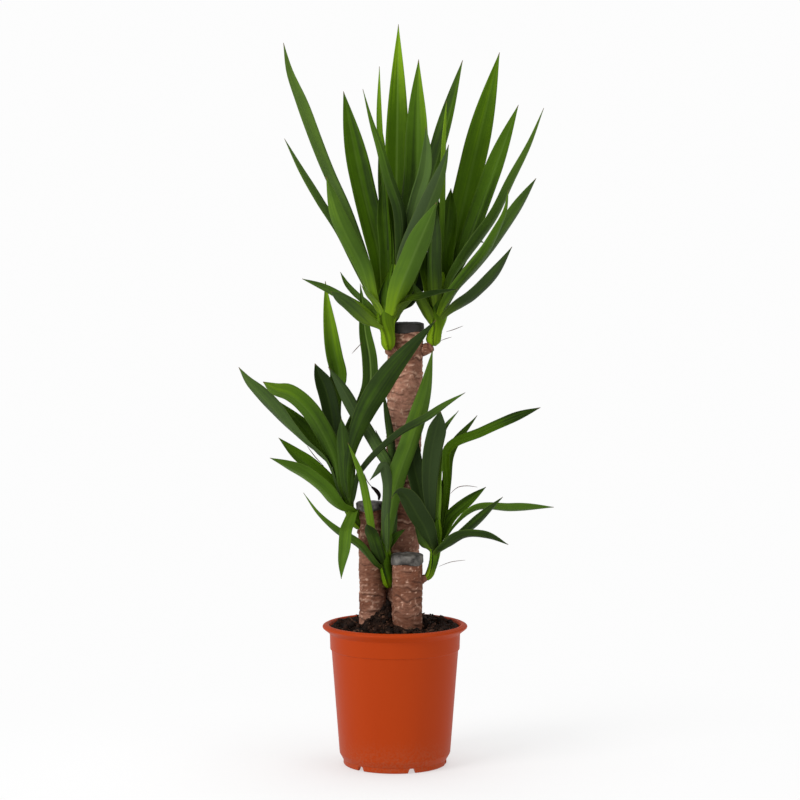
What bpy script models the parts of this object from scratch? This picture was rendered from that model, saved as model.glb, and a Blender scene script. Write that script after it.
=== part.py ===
"""Potted yucca: three cut canes with five leafy shoots, in soil, in a round plastic nursery pot.

Frame: +Z up, +X to the viewer's right, +Y away from the viewer, origin at the middle of the pot's
base. Lengths in the tables are millimetres and are turned into metres with MM.
"""
import math
import random
from collections import namedtuple

import bmesh
import bpy
import numpy as np

MM = 0.001
CLEARANCE = 0.3

# Pot, a thin moulded shell turned about Z
RIM_RADIUS = 85.0
POT_HEIGHT = 165.0
NECK_RADIUS = 76.4
COLLAR_HEIGHT = 135.0
COLLAR_STEP = 1.5
BODY_TOP_RADIUS = 74.3
BODY_FOOT_RADIUS = 65.0
FOOT_RADIUS = 60.5
FOOT_HEIGHT = 7.0
CHAMFER_HEIGHT = 13.5
WALL = 1.6
FLOOR_UNDERSIDE = 5.5
PAD_RADIUS = 16.0
POT_SIDES = 32
NOTCH_COUNT = 6
NOTCH_WIDTH = 9.0
NOTCH_DEPTH = 9.0
NOTCH_HEIGHT = 5.5
FIRST_NOTCH_ANGLE = -71.0
HOLE_CIRCLE = 38.0
HOLE_RADIUS = 5.0
HOLE_SIDES = 8
CUT_MARGIN = 2.0

# Soil
SOIL_FLOOR = FLOOR_UNDERSIDE + WALL + CLEARANCE
SOIL_RINGS = 7
SOIL_EDGE = 159.5
SOIL_BACK_RISE = 4.0
SOIL_EDGE_BAND = 12.0
WAVE_COUNT = 14
WAVE_PITCHES = (0.16, 0.5)
WAVE_HEIGHT = 0.55
Mound = namedtuple("Mound", "x y height spread")
MOUNDS = (
    Mound(-8, 2, 24, 15),
    Mound(26, 38, 4, 18),
    Mound(48, 4, 1, 12),
)

# Canes: axis points, radius, number of bark rings
Cane = namedtuple("Cane", "axis radius rings stubs")
Stub = namedtuple("Stub", "start end start_radius end_radius")
CANE_SIDES = 12
STUB_SIDES = 10
BARK_GROOVE = 0.75
BARK_ROUGHNESS = 0.7
CANES = {
    "tall": Cane(
        [(7.8, 26, 70), (7.8, 26, 250), (13, 26, 513)], 20.0, 15,
        [Stub((20, 24, 480), (44, 20, 489), 9, 6.5), Stub((5, 18, 478), (-7.5, 6, 485), 9, 6.5)]),
    "left": Cane(
        [(-26.5, 14, 70), (-26.5, 14, 230), (-28.5, 13, 303)], 16.0, 9,
        [Stub((-32, 12, 268), (-42, 10, 275), 8, 6)]),
    "short": Cane(
        [(14.3, -15, 70), (14.3, -15, 245)], 17.8, 6,
        [Stub((20, -15, 215), (37, -15, 221), 9, 4.5)]),
}
WAX_SKIRT = 7.0
WAX_TOP = 4.5
WAX_WALL = 1.2

# Leaf blades. The fold is the angle of each half to the blade's plane, in degrees
FEWEST_STATIONS = 5
MOST_STATIONS = 7
STATION_SPACING = 52.0
EDGE_THICKNESS = 0.7
RIB_THICKNESS = 1.6
TIP_WIDTH = 1.2
CLASP_RISE = 9.0
CLASP_RADIUS = 7.0
CORE_SIDES = 8
FOLD = 16.0
FOLD_AT_FOOT = 22.0
FOLD_AT_TIP = 8.0
FOOT_SHARE = 0.3
ROLL_SHARE = 0.45

# A leaf is drawn through its way points to its tip. Turn is the angle between the blade and the
# viewer's picture plane: 0 shows the full width, 90 shows the edge. Taper is the share of the
# length over which it narrows to the tip, base the width at its foot and widest the place where
# it reaches full width, both as shares. Twist is what is added to the turn at the foot.
# A fan is the leaves at the back: its sags are shares of the length with the lean added there.
LEAF_WORDS = "name width turn path taper base widest twist"
Leaf = namedtuple("Leaf", LEAF_WORDS, defaults=(0.38, 0.5, 0.42, 0))
Fan = namedtuple("Fan", "count first_azimuth last_azimuth shortest longest")
Shoot = namedtuple("Shoot", "cane core leaves fan")
FAN_LEANS = (48, 64, 54, 44, 58)
FAN_LEAN_SPREAD = 4.0
FAN_WIDTHS = (21.0, 26.0)
FAN_TURNS = (30.0, 60.0)
FAN_SAGS = ((0.3, -0.10), (0.65, 0.0), (1.0, 0.22))

SHOOTS = {
    "upper_left": Shoot("tall", [
        (-8, 2, 485, 3.5), (-8, 2, 490, 6.8), (-8, 2, 497, 8.2), (-8.5, 1.5, 506, 8.6),
        (-10, 0, 518, 10.5), (-7, 5, 536, 14), (-2, 10, 560, 12), (1, 12, 584, 5),
    ], [
        Leaf("long_left", 23, 50, [
            (-44, 36, 605), (-62.8, 42, 653), (-82.9, 62, 697), (-113.9, 85, 777.5), (-128.4, 94, 818),
            (-134.2, 100, 852),
        ], 0.26),
        Leaf("far_left", 21, 64, [
            (-52, 30, 591), (-67.2, 32, 621), (-90.9, 41, 657.4), (-112.4, 45, 694.7), (-130.5, 48, 733.5),
        ], 0.3),
        Leaf("broad_left", 22, 15, [
            (-39.5, -12, 586), (-54.2, -32, 614.5), (-65.3, -50, 640), (-72.7, -66, 665.7),
            (-77.2, -75, 682.5),
        ], 0.36),
        Leaf("dark_left", 30, 12, [
            (-20, 34, 600), (-36, 44, 666), (-53.5, 61, 748), (-61.5, 72, 791.5),
        ], 0.36),
        Leaf("crossing", 19, 30, [
            (8, -4, 601), (6.5, -6, 646), (-6, -3, 684.5), (-17, 4, 722), (-25.2, 9, 745.5),
            (-37.5, 14, 788.5),
        ], 0.65),
        Leaf("thin_bright", 11, 50, [
            (-7, 26, 602), (-11, 34, 672), (-16.5, 40, 743), (-18.5, 46, 818),
        ], 0.25),
        Leaf("tallest", 30, 0, [(-1, 40, 579), (2, 64, 709), (4, 90, 873)], 0.43),
        Leaf("second_spike", 31, 15, [
            (10, 34, 596), (24, 46, 673), (27, 51, 750), (27, 58, 785.5), (28, 66, 828.5),
        ], 0.36),
        Leaf("grey_spike", 17, 5, [
            (11, 8, 601), (26.5, 6, 665), (34.5, 7, 691), (37, 9, 717.5), (36, 12, 745),
        ], 0.25),
        Leaf("dark_right", 28.5, 50, [
            (18, 22, 602), (46, 30, 695), (64.7, 38, 762), (79.5, 42, 825),
        ], 0.3),
        Leaf("short_right", 24, 15, [
            (16, -8, 599), (43.2, -15, 663), (52.2, -19, 687), (57.6, -22, 704), (61.8, -24, 721.5),
        ], 0.4),
        Leaf("front", 29, 10, [(2, -20, 546), (20, -42, 591), (47, -82, 653)]),
        Leaf("inner_right", 20, 20, [(12, 30, 552), (22, 46, 580), (28, 62, 616)]),
        Leaf("low_thin", 19, 58, [
            (-36, 3, 530), (-47.5, 1, 536), (-60.5, -1, 543.2), (-79, -4, 553.8), (-107.5, -8, 568),
        ]),
        Leaf("low_front", 16, 15, [(-28, -14, 515.5), (-54.5, -42, 539), (-72, -70, 553)], 0.3),
        Leaf("low_back", 14, 55, [
            (-27, 38, 529), (-37.5, 46, 540), (-47.5, 56, 548.5), (-58, 66, 561), (-65.5, 76, 576.5),
        ], 0.35),
        Leaf("low_small", 9, 40, [
            (-20, -9, 536), (-26.5, -12, 543.5), (-33, -16, 551.5), (-38.5, -18, 560),
        ]),
        Leaf("low_right", 15, 60, [(8, -10, 539), (34, -28, 547), (72, -42, 556)]),
        Leaf("low_behind", 26, 10, [(2, 24, 544), (22, 42, 559), (37, 58, 590)], 0.3),
        Leaf("low_cross", 13, 20, [(3, -3, 530), (15, -9, 543), (29, -15, 549)]),
        Leaf("low_short", 16, 12, [(3, 20, 534), (15, 30, 540), (28, 38, 549)], 0.3, 0.5, 0.3),
        Leaf("rear_left", 19, 10, [(-9, 26, 598), (-13, 36, 640), (-16, 44, 682)], 0.35),
        Leaf("rear_thin", 17, 10, [(-6, 40, 590), (-11, 66, 660), (-15, 88, 720), (-18, 96, 762)]),
    ], Fan(5, -12, 10, 170, 215)),
    "upper_right": Shoot("tall", [
        (44, 20, 489.5, 3.5), (44.5, 20, 494, 7.4), (46, 20, 501, 8.2), (48.5, 19, 509, 7.6),
        (50, 18, 519, 10), (51, 17, 536, 12), (52, 17, 556, 9.5), (53, 17, 576, 4),
    ], [
        Leaf("folded", 25, 45, [(44, 4, 561), (43, 0, 607), (47, 2, 655)]),
        Leaf("edge_on", 17, 70, [
            (53, 16, 578), (56.5, 14, 622.5), (57.6, 12, 654), (58.2, 10, 694.5), (59, 9, 735),
            (59.8, 8, 774),
        ], 0.3),
        Leaf("big", 32.5, 10, [(65.5, 42, 588), (87.8, 66, 683), (125.8, 104, 841)], 0.39),
        Leaf("second_big", 25.5, 30, [(74, 24, 576), (106, 34, 665), (145.5, 46, 773)], 0.33),
        Leaf("long_thin", 21, 68, [
            (65, 8, 565.5), (81, 8, 591.7), (97.5, 6, 614), (115.5, 4, 638.7), (135.8, 2, 679.5),
            (156.8, -2, 722.3), (172, -4, 765),
        ], 0.38, 0.5, 0.42, -33),
        Leaf("outer_dark", 23, 50, [
            (75, -9, 561.2), (90.6, -12, 578.8), (108.1, -16, 599.8), (125.6, -21, 623.8),
            (144.4, -26, 652.5),
            (161.8, -30, 682.8),
        ], 0.25),
        Leaf("light", 19, 50, [
            (64, -16, 548), (85.5, -26, 574.3), (102.3, -38, 595.5), (116, -48, 621), (125.5, -58, 644),
            (128.5, -62, 668),
        ], 0.5),
        Leaf("low_outer", 18.5, 40, [
            (70, -8, 533.4), (89.3, -26, 547.3), (106.8, -36, 564.2), (121, -50, 583.6), (133, -58, 604),
        ], 0.4),
        Leaf("low_inner", 14, 10, [(40, 8, 524), (31, 2, 541), (21, -4, 563)]),
        Leaf("inner_left", 22, 20, [(42, 20, 556), (37, 26, 580), (35, 30, 604)]),
        Leaf("rear_top", 28, 10, [
            (56, 28, 590), (61, 34, 625), (64.5, 40, 652), (66, 44, 675),
        ], 0.35, 0.5, 0.25),
        Leaf("rear_middle", 16, 10, [(48, 32, 590), (49.5, 34, 630), (50, 36, 668)], 0.35),
    ], Fan(5, 6, 24, 150, 185)),
    "left": Shoot("left", [
        (-41, 10, 277, 4.5), (-44, 9, 281, 6), (-50, 8, 290, 6), (-55.5, 8, 304, 6.5),
        (-59, 8, 322, 5), (-61.5, 8, 338, 2),
    ], [
        Leaf("widest", 28, 12, [
            (-83, 5, 359), (-104.6, 2, 377), (-123.2, -4, 396), (-141.2, -12, 418), (-159.4, -18, 438.8),
            (-168.2, -22, 448.4), (-180, -26, 466),
        ], 0.36, 0.1, 1.0, 82),
        Leaf("bent", 25, 20, [
            (-71, 0, 360), (-85, -10, 391), (-101.5, -20, 417), (-113, -26, 428.5), (-122.5, -29, 434.7),
            (-135, -34, 438.6), (-151, -44, 450),
        ], 0.18),
        Leaf("under_bent", 23, 28, [
            (-70, 12, 350), (-88, 14, 371), (-113.5, 16, 401), (-135, 18, 423.5),
        ], 0.45, 0.13, 0.6),
        Leaf("dark_upright", 23, 5, [
            (-62, 24, 330), (-72, 38, 389.5), (-79, 52, 424), (-85.2, 60, 443), (-90.8, 63, 454.5),
            (-96, 66, 467.5),
        ], 0.18),
        Leaf("short_dark", 19, 10, [(-55, -4, 324), (-59, -14, 369), (-62, -24, 407)], 0.3),
        Leaf("outer_dark", 24, 45, [
            (-70, 20, 317), (-97.3, 30, 343.5), (-118.8, 36, 360.5), (-138, 40, 380),
        ]),
        Leaf("outer_bright", 26, 45, [
            (-61, 0, 298.5), (-84, -10, 323.5), (-105, -17, 340.3), (-123.4, -26, 350.8),
            (-144, -30, 361.5),
        ], 0.35),
        Leaf("bright_upright", 22, 10, [
            (-57, 24, 343), (-74, 56, 395), (-73.5, 70, 425), (-67, 72, 455), (-71.5, 68, 475.5),
            (-77.5, 62, 514.8), (-81, 60, 543), (-83, 58, 565.6),
        ], 0.33),
        Leaf("pale_rib", 20, 10, [
            (-53, 17, 344), (-52, 18, 385), (-40, 23, 412), (-29.5, 27, 442), (-29.5, 28, 475),
            (-34.8, 28, 505.5), (-37.8, 27, 537.5), (-41, 26, 562.5),
        ]),
        Leaf("long_front", 29, 8, [
            (-55, -12, 345), (-50, -16, 374), (-38.5, -22, 405), (-9, -38, 455), (47, -54, 521),
        ], 0.45, 0.13, 0.62),
        Leaf("hanging", 15.5, 10, [
            (-54, -22, 282), (-56.3, -38, 276), (-57.7, -48, 258), (-60.2, -51, 242.5), (-61.5, -52, 224),
        ], 0.38, 0.8),
        Leaf("thin_crossing", 14, 45, [
            (-43, -6, 336), (-36.5, -20, 348.5), (-23, -30, 365), (9, -34, 392), (40.8, -34, 409.5),
            (57.5, -32, 421.5), (81, -30, 437),
        ], 0.25, 0.5, 0.75),
    ], Fan(3, -14, 4, 110, 140)),
    "centre": Shoot("left", [
        (-7.5, 4, 207, 3.3), (-8, 3, 211, 5.6), (-9, 1, 218, 6.8), (-10.5, -1, 229, 7),
        (-11.5, -5, 243, 7), (-12, -9, 258, 6.3), (-12, -11, 274, 4), (-12, -12, 288, 2),
    ], [
        Leaf("light_right", 25, 20, [
            (-9, -14, 257), (2, -18, 334), (18.5, -17, 380), (36, -8, 438), (44, 0, 486),
        ]),
        Leaf("vertical", 17, 10, [
            (-9, -19, 264), (-8.5, -20, 306), (-7, -18, 335), (-9.5, -14, 354.5), (-18.8, -10, 369.5),
            (-31.5, -4, 391.5), (-42.5, 0, 407.3), (-62.3, 4, 442), (-78, 6, 465.5),
        ], 0.2, 0.35, 0.85),
        Leaf("thin_left", 10.5, 20, [
            (-25, -20, 262), (-29, -22, 286.5), (-33.5, -26, 313.5), (-38.5, -30, 337), (-43.5, -33, 352.5),
            (-54, -38, 379.5),
        ]),
        Leaf("short_dark", 16, 10, [(-19, -16, 247), (-26, -30, 270), (-33, -48, 287)], 0.3),
        Leaf("long_low", 15, 40, [
            (-23, -11, 235), (-42, -13, 258), (-69, -14, 276), (-89, -16, 295), (-106, -18, 320),
        ], 0.75, 0.7, 0.3),
        Leaf("small_right", 10, 25, [(-7, -4, 250), (-1, -12, 266), (12, -20, 278)]),
        Leaf("arched_upper", 15, 20, [(-6, 0, 300), (-8, 0, 347), (-14.3, -4, 371), (-22.5, -6, 392)]),
        Leaf("arched_lower", 14, 20, [
            (-9, -20, 290), (-9, -24, 340), (-13, -28, 352), (-20, -32, 345), (-29, -35, 336),
        ], 0.28, 0.45),
        Leaf("strip", 11, 30, [
            (-2, -8, 330), (-5, -4, 390), (-8, -3, 407), (-11, -2.5, 422.5), (-13.5, -2, 437.5),
        ], 0.25),
    ], None),
    "right": Shoot("short", [
        (36, -15, 219.5, 3.3), (39.5, -15, 223.5, 4.4), (43, -15, 232, 4.8), (46.3, -15, 246, 6),
        (47.5, -14, 260, 6.5), (49, -12, 274, 5.5), (50, -11, 288, 2.5),
    ], [
        Leaf("level", 16, 45, [
            (69, -16, 281), (92, -16, 300.5), (135, -15, 300.8), (185, -10, 302.5),
        ], 0.3, 0.18, 0.7),
        Leaf("rising_dark", 18, 40, [(65, 2, 288), (86, 10, 306), (107, 18, 323.5)]),
        Leaf("rising_front", 17, 45, [(61, -26, 258.5), (88.5, -34, 281.5), (124, -42, 317.5)]),
        Leaf("arching", 15, 38, [
            (57, -34, 258.5), (76, -48, 273), (104, -60, 274), (129, -72, 266),
        ], 0.3),
        Leaf("long_bent", 15, 40, [
            (56, 2, 288), (62, 8, 325), (63, 12, 368), (103, 12, 388), (170, 6, 417.8),
        ], 0.16, 0.6, 0.8),
        Leaf("behind_bent", 16.5, 45, [
            (59, 20, 302), (63, 30, 330), (66, 37, 358), (97.5, 44, 406.5),
        ], 0.3),
        Leaf("thin_upright", 11, 20, [(50, -8, 293), (50.5, -8, 345), (57, -9, 393), (74, -10, 415)]),
        Leaf("dark_upright", 25, 15, [
            (41, -12, 290), (39.8, -12, 335.5), (43.3, -12.5, 373), (46.6, -13, 388), (52.8, -14, 415),
        ], 0.16, 0.4, 0.8),
        Leaf("blackish", 25, 15, [
            (40, -30, 268), (35.5, -36, 280), (25.5, -50, 298), (18, -62, 312.5), (10.5, -72, 323.5),
            (2.5, -80, 327), (-4, -86, 320.5),
        ]),
        Leaf("over_cane", 23, 12, [
            (39, -13, 284), (29, -7, 322), (22, -3, 355), (22, -1, 381), (20, 0, 397),
        ], 0.4, 0.4, 0.55),
        Leaf("foot_left", 14, 10, [(36.5, -16, 257), (30.5, -14, 273), (27, -12, 298)], 0.3, 0.6),
    ], Fan(3, -4, 10, 120, 150)),
}

COLOURS = {
    "pot": (0.43, 0.055, 0.012, 0.38),
    "soil": (0.018, 0.011, 0.007, 0.95),
    "bark": (0.20, 0.085, 0.048, 0.85),
    "wax": (0.035, 0.035, 0.037, 0.55),
    "leaf": (0.045, 0.13, 0.02, 0.42),
}


def clear_scene():
    for thing in list(bpy.data.objects):
        bpy.data.objects.remove(thing)


def material(kind):
    """Principled material of one kind, made once and shared."""
    found = bpy.data.materials.get(kind)
    if found:
        return found
    red, green, blue, roughness = COLOURS[kind]
    made = bpy.data.materials.new(kind)
    made.use_nodes = True
    shader = made.node_tree.nodes["Principled BSDF"]
    shader.inputs["Base Color"].default_value = (red, green, blue, 1.0)
    shader.inputs["Roughness"].default_value = roughness
    shader.inputs["Metallic"].default_value = 0.0
    return made


def add_mesh(name, points, faces, kind, smooth=False):
    """Object from points in millimetres, with its faces made to look outwards."""
    mesh = bpy.data.meshes.new(name)
    mesh.from_pydata([tuple(value * MM for value in point) for point in points], [], faces)
    edit = bmesh.new()
    edit.from_mesh(mesh)
    bmesh.ops.recalc_face_normals(edit, faces=edit.faces)
    edit.to_mesh(mesh)
    edit.free()
    mesh.materials.append(material(kind))
    if smooth:
        mesh.shade_smooth()
    made = bpy.data.objects.new(name, mesh)
    bpy.context.scene.collection.objects.link(made)
    return made


def ring_faces(first, second, sides):
    """Quads between two rings of points that start at the indices first and second."""
    return [
        (first + k, first + (k + 1) % sides, second + (k + 1) % sides, second + k)
        for k in range(sides)
    ]


def turned(name, profile, sides, kind):
    """Closed solid of revolution. The profile runs from the axis out, round and back to the axis."""
    angles = [math.tau * k / sides for k in range(sides)]
    points = [(0.0, 0.0, profile[0][1])]
    faces = []
    rings = []
    for radius, height in profile[1:-1]:
        rings.append(len(points))
        points += [(radius * math.cos(a), radius * math.sin(a), height) for a in angles]
    for first, second in zip(rings, rings[1:]):
        faces += ring_faces(first, second, sides)
    last = len(points)
    points.append((0.0, 0.0, profile[-1][1]))
    faces += [(0, rings[0] + k, rings[0] + (k + 1) % sides) for k in range(sides)]
    faces += [(last, rings[-1] + (k + 1) % sides, rings[-1] + k) for k in range(sides)]
    return add_mesh(name, points, faces, kind, smooth=True)


def keep_largest_body(target):
    """Drops loose scraps and the faces of sealed hollows that fusing leaves behind."""
    edit = bmesh.new()
    edit.from_mesh(target.data)
    edit.verts.ensure_lookup_table()
    bodies = []
    seen = set()
    for start in edit.verts:
        if start in seen:
            continue
        body = [start]
        seen.add(start)
        for vertex in body:
            for edge in vertex.link_edges:
                other = edge.other_vert(vertex)
                if other not in seen:
                    seen.add(other)
                    body.append(other)
        bodies.append(body)
    bodies.sort(key=len)
    bmesh.ops.delete(edit, geom=[vertex for body in bodies[:-1] for vertex in body], context="VERTS")
    edit.to_mesh(target.data)
    edit.free()
    return target


def combine(target, others, operation, solver="EXACT"):
    """Applies one Boolean between the target and a group of helper objects, then removes them."""
    group = bpy.data.collections.new(target.name + "_helpers")
    bpy.context.scene.collection.children.link(group)
    for other in others:
        bpy.context.scene.collection.objects.unlink(other)
        group.objects.link(other)
    modifier = target.modifiers.new("combine", "BOOLEAN")
    modifier.operand_type = "COLLECTION"
    modifier.collection = group
    modifier.operation = operation
    modifier.solver = solver
    bpy.context.view_layer.update()
    graph = bpy.context.evaluated_depsgraph_get()
    result = bpy.data.meshes.new_from_object(target.evaluated_get(graph))
    target.modifiers.remove(modifier)
    result.name = target.name
    target.data = result
    for other in others:
        bpy.data.objects.remove(other)
    bpy.data.collections.remove(group)
    return target


def box(name, centre, size, angle):
    """Helper block turned by an angle about Z."""
    c, s = math.cos(angle), math.sin(angle)
    points = []
    for dx in (-0.5, 0.5):
        for dy in (-0.5, 0.5):
            for dz in (-0.5, 0.5):
                x, y = dx * size[0], dy * size[1]
                z = centre[2] + dz * size[2]
                points.append((centre[0] + x * c - y * s, centre[1] + x * s + y * c, z))
    faces = [(0, 1, 3, 2), (4, 6, 7, 5), (0, 4, 5, 1), (2, 3, 7, 6), (0, 2, 6, 4), (1, 5, 7, 3)]
    return add_mesh(name, points, faces, "pot")


def cylinder(name, centre, radius, low, high, sides):
    """Helper cylinder with its corners on the radius, in line with the corners of a cane."""
    x, y = centre
    points = []
    for height in (low, high):
        for k in range(sides):
            a = math.tau * k / sides
            points.append((x + radius * math.cos(a), y + radius * math.sin(a), height))
    faces = ring_faces(0, sides, sides)
    faces.append(tuple(reversed(range(sides))))
    faces.append(tuple(range(sides, 2 * sides)))
    return add_mesh(name, points, faces, "soil")


def pot_inner_radius(height):
    """Inner radius of the pot wall at a height, from the floor to the neck."""
    outer = np.interp(
        height,
        [FOOT_HEIGHT, CHAMFER_HEIGHT, COLLAR_HEIGHT - 1.0, COLLAR_HEIGHT + 1.0, POT_HEIGHT - 12.0],
        [FOOT_RADIUS, BODY_FOOT_RADIUS, BODY_TOP_RADIUS, BODY_TOP_RADIUS + COLLAR_STEP, NECK_RADIUS],
    )
    return float(outer) - WALL


def make_pot():
    """Nursery pot: centre pad, notched foot ring, tapering body, collar step and rolled lip."""
    inside_floor = FLOOR_UNDERSIDE + WALL
    lip = POT_HEIGHT
    neck_inner = NECK_RADIUS - WALL
    profile = [
        (0, 0), (PAD_RADIUS, 0), (PAD_RADIUS + 2, FLOOR_UNDERSIDE),
        (FOOT_RADIUS - 5.0, FLOOR_UNDERSIDE), (FOOT_RADIUS - 4.0, 0), (FOOT_RADIUS - 0.8, 0),
        (FOOT_RADIUS, 0.8), (FOOT_RADIUS, FOOT_HEIGHT - 0.8), (FOOT_RADIUS + 0.9, FOOT_HEIGHT),
        (BODY_FOOT_RADIUS, CHAMFER_HEIGHT),
        (BODY_TOP_RADIUS, COLLAR_HEIGHT - 0.6), (BODY_TOP_RADIUS + COLLAR_STEP, COLLAR_HEIGHT + 0.4),
        (NECK_RADIUS, lip - 11.0), (RIM_RADIUS - 0.6, lip - 4.6), (RIM_RADIUS, lip - 3.2),
        (RIM_RADIUS - 0.8, lip - 1.8), (RIM_RADIUS - 4.0, lip - 0.2), (RIM_RADIUS - 6.0, lip),
        (RIM_RADIUS - 7.8, lip - 0.8), (neck_inner + 0.8, lip - 4.5), (neck_inner, lip - 10.0),
        (pot_inner_radius(COLLAR_HEIGHT + 1.4), COLLAR_HEIGHT + 1.4),
        (pot_inner_radius(COLLAR_HEIGHT - 1.6), COLLAR_HEIGHT - 1.6),
        (pot_inner_radius(CHAMFER_HEIGHT), CHAMFER_HEIGHT),
        (pot_inner_radius(inside_floor + 1.5), inside_floor + 1.5),
        (pot_inner_radius(inside_floor + 1.5) - 2.0, inside_floor), (0, inside_floor),
    ]
    pot = turned("pot", profile, POT_SIDES, "pot")
    cutters = []
    hole_low, hole_high = FLOOR_UNDERSIDE - CUT_MARGIN, inside_floor + CUT_MARGIN
    for k in range(NOTCH_COUNT):
        angle = math.radians(FIRST_NOTCH_ANGLE + 360 * k / NOTCH_COUNT)
        reach = FOOT_RADIUS - 2.0
        centre = (reach * math.cos(angle), reach * math.sin(angle), (NOTCH_HEIGHT - CUT_MARGIN) / 2)
        size = (NOTCH_DEPTH, NOTCH_WIDTH, NOTCH_HEIGHT + CUT_MARGIN)
        cutters.append(box(f"notch_{k}", centre, size, angle))
        turn = angle + math.pi / NOTCH_COUNT
        hole_centre = (HOLE_CIRCLE * math.cos(turn), HOLE_CIRCLE * math.sin(turn))
        cutters.append(cylinder(f"hole_{k}", hole_centre, HOLE_RADIUS, hole_low, hole_high, HOLE_SIDES))
    return combine(pot, cutters, "DIFFERENCE")


def soil_height(x, y, waves):
    """Height of the soil: a slope up to the back, a few mounds and a seeded sum of small waves."""
    reach = BODY_TOP_RADIUS
    slope = math.sin(math.pi / 2 * max(-1.0, min(1.0, y / reach)))
    height = SOIL_EDGE + SOIL_BACK_RISE * (0.5 + 0.5 * slope)
    for mound in MOUNDS:
        gap = (x - mound.x) ** 2 + (y - mound.y) ** 2
        height += mound.height * math.exp(-gap / (2 * mound.spread ** 2))
    edge = min(1.0, max(0.0, (reach - math.hypot(x, y)) / SOIL_EDGE_BAND))
    for kx, ky, phase in waves:
        height += edge * WAVE_HEIGHT * math.sin(kx * x + ky * y + phase)
    return height


def make_soil():
    """Potting soil that fills the pot, lumpy on top, with a plain hole for each cane."""
    draw = random.Random(11)
    waves = []
    for _ in range(WAVE_COUNT):
        heading = draw.uniform(0, math.tau)
        pitch = draw.uniform(*WAVE_PITCHES)
        phase = draw.uniform(0, math.tau)
        waves.append((pitch * math.cos(heading), pitch * math.sin(heading), phase))
    sides = POT_SIDES
    angles = [math.tau * k / sides for k in range(sides)]
    edge_radius = NECK_RADIUS - WALL - CLEARANCE
    points = [(0.0, 0.0, soil_height(0, 0, waves))]
    rings = []
    for step in range(1, SOIL_RINGS + 1):
        radius = edge_radius * step / SOIL_RINGS
        rings.append(len(points))
        for a in angles:
            x, y = radius * math.cos(a), radius * math.sin(a)
            z = soil_height(x, y, waves)
            if step == SOIL_RINGS:
                z = min(z, POT_HEIGHT - 3.0)
            points.append((x, y, z))
    collar = (COLLAR_HEIGHT + 1.4, COLLAR_HEIGHT - 1.9)
    for height in (POT_HEIGHT - 11.0, *collar, CHAMFER_HEIGHT, SOIL_FLOOR + 2.0):
        radius = pot_inner_radius(height) - CLEARANCE
        rings.append(len(points))
        points += [(radius * math.cos(a), radius * math.sin(a), height) for a in angles]
    radius = pot_inner_radius(SOIL_FLOOR + 2.0) - CLEARANCE - 3.0
    rings.append(len(points))
    points += [(radius * math.cos(a), radius * math.sin(a), SOIL_FLOOR) for a in angles]
    faces = [(0, rings[0] + k, rings[0] + (k + 1) % sides) for k in range(sides)]
    for first, second in zip(rings, rings[1:]):
        for quad in ring_faces(first, second, sides):
            faces += [(quad[0], quad[1], quad[2]), (quad[0], quad[2], quad[3])]
    faces.append(tuple(range(rings[-1], rings[-1] + sides)))
    soil = add_mesh("soil", points, faces, "soil")
    holes = []
    for name, cane in CANES.items():
        x, y, low = cane.axis[0]
        radius = cane.radius + CLEARANCE
        holes.append(cylinder(f"hole_{name}", (x, y), radius, low - CLEARANCE, 220, CANE_SIDES))
    return combine(soil, holes, "DIFFERENCE")


def tube(name, axis, radii, sides, kind, wobble=None, level=False):
    """Closed tube along an axis. Its rings are square to the axis, or all level."""
    axis = np.array(axis, dtype=float)
    along = np.gradient(axis, axis=0)
    if level:
        along[:] = (0.0, 0.0, 1.0)
    along /= np.linalg.norm(along, axis=1)[:, None]
    points = []
    for k, (centre, direction) in enumerate(zip(axis, along)):
        side = np.cross(direction, (0.0, 1.0, 0.0))
        side /= np.linalg.norm(side)
        other = np.cross(direction, side)
        for j in range(sides):
            a = math.tau * j / sides
            radius = radii[k] - (wobble(k, j) if wobble else 0.0)
            points.append(tuple(centre + radius * (math.cos(a) * side + math.sin(a) * other)))
    faces = []
    for k in range(len(axis) - 1):
        faces += ring_faces(k * sides, (k + 1) * sides, sides)
    faces.append(tuple(reversed(range(sides))))
    faces.append(tuple(range((len(axis) - 1) * sides, len(axis) * sides)))
    return add_mesh(name, points, faces, kind)


def smooth_path(points, count):
    """Points spread evenly along a cubic curve that passes through the given points."""
    points = np.array(points, dtype=float)
    gaps = np.linalg.norm(np.diff(points, axis=0), axis=1)
    stops = np.concatenate([[0.0], np.cumsum(gaps)])
    slopes = np.gradient(points, stops, axis=0)
    reach = np.linspace(0.0, stops[-1], count)
    piece = np.clip(np.searchsorted(stops, reach, side="right") - 1, 0, len(gaps) - 1)
    span = gaps[piece][:, None]
    u = ((reach - stops[piece]) / gaps[piece])[:, None]
    start, end = points[piece], points[piece + 1]
    start_slope, end_slope = slopes[piece] * span, slopes[piece + 1] * span
    return (
        (2 * u ** 3 - 3 * u ** 2 + 1) * start + (u ** 3 - 2 * u ** 2 + u) * start_slope
        + (3 * u ** 2 - 2 * u ** 3) * end + (u ** 3 - u ** 2) * end_slope
    )


def straight_path(points, count):
    """Points spread evenly along the straight runs between the given points."""
    points = np.array(points, dtype=float)
    stops = np.concatenate([[0.0], np.cumsum(np.linalg.norm(np.diff(points, axis=0), axis=1))])
    reach = np.linspace(0.0, stops[-1], count)
    return np.stack([np.interp(reach, stops, points[:, k]) for k in range(3)], axis=1)


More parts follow.
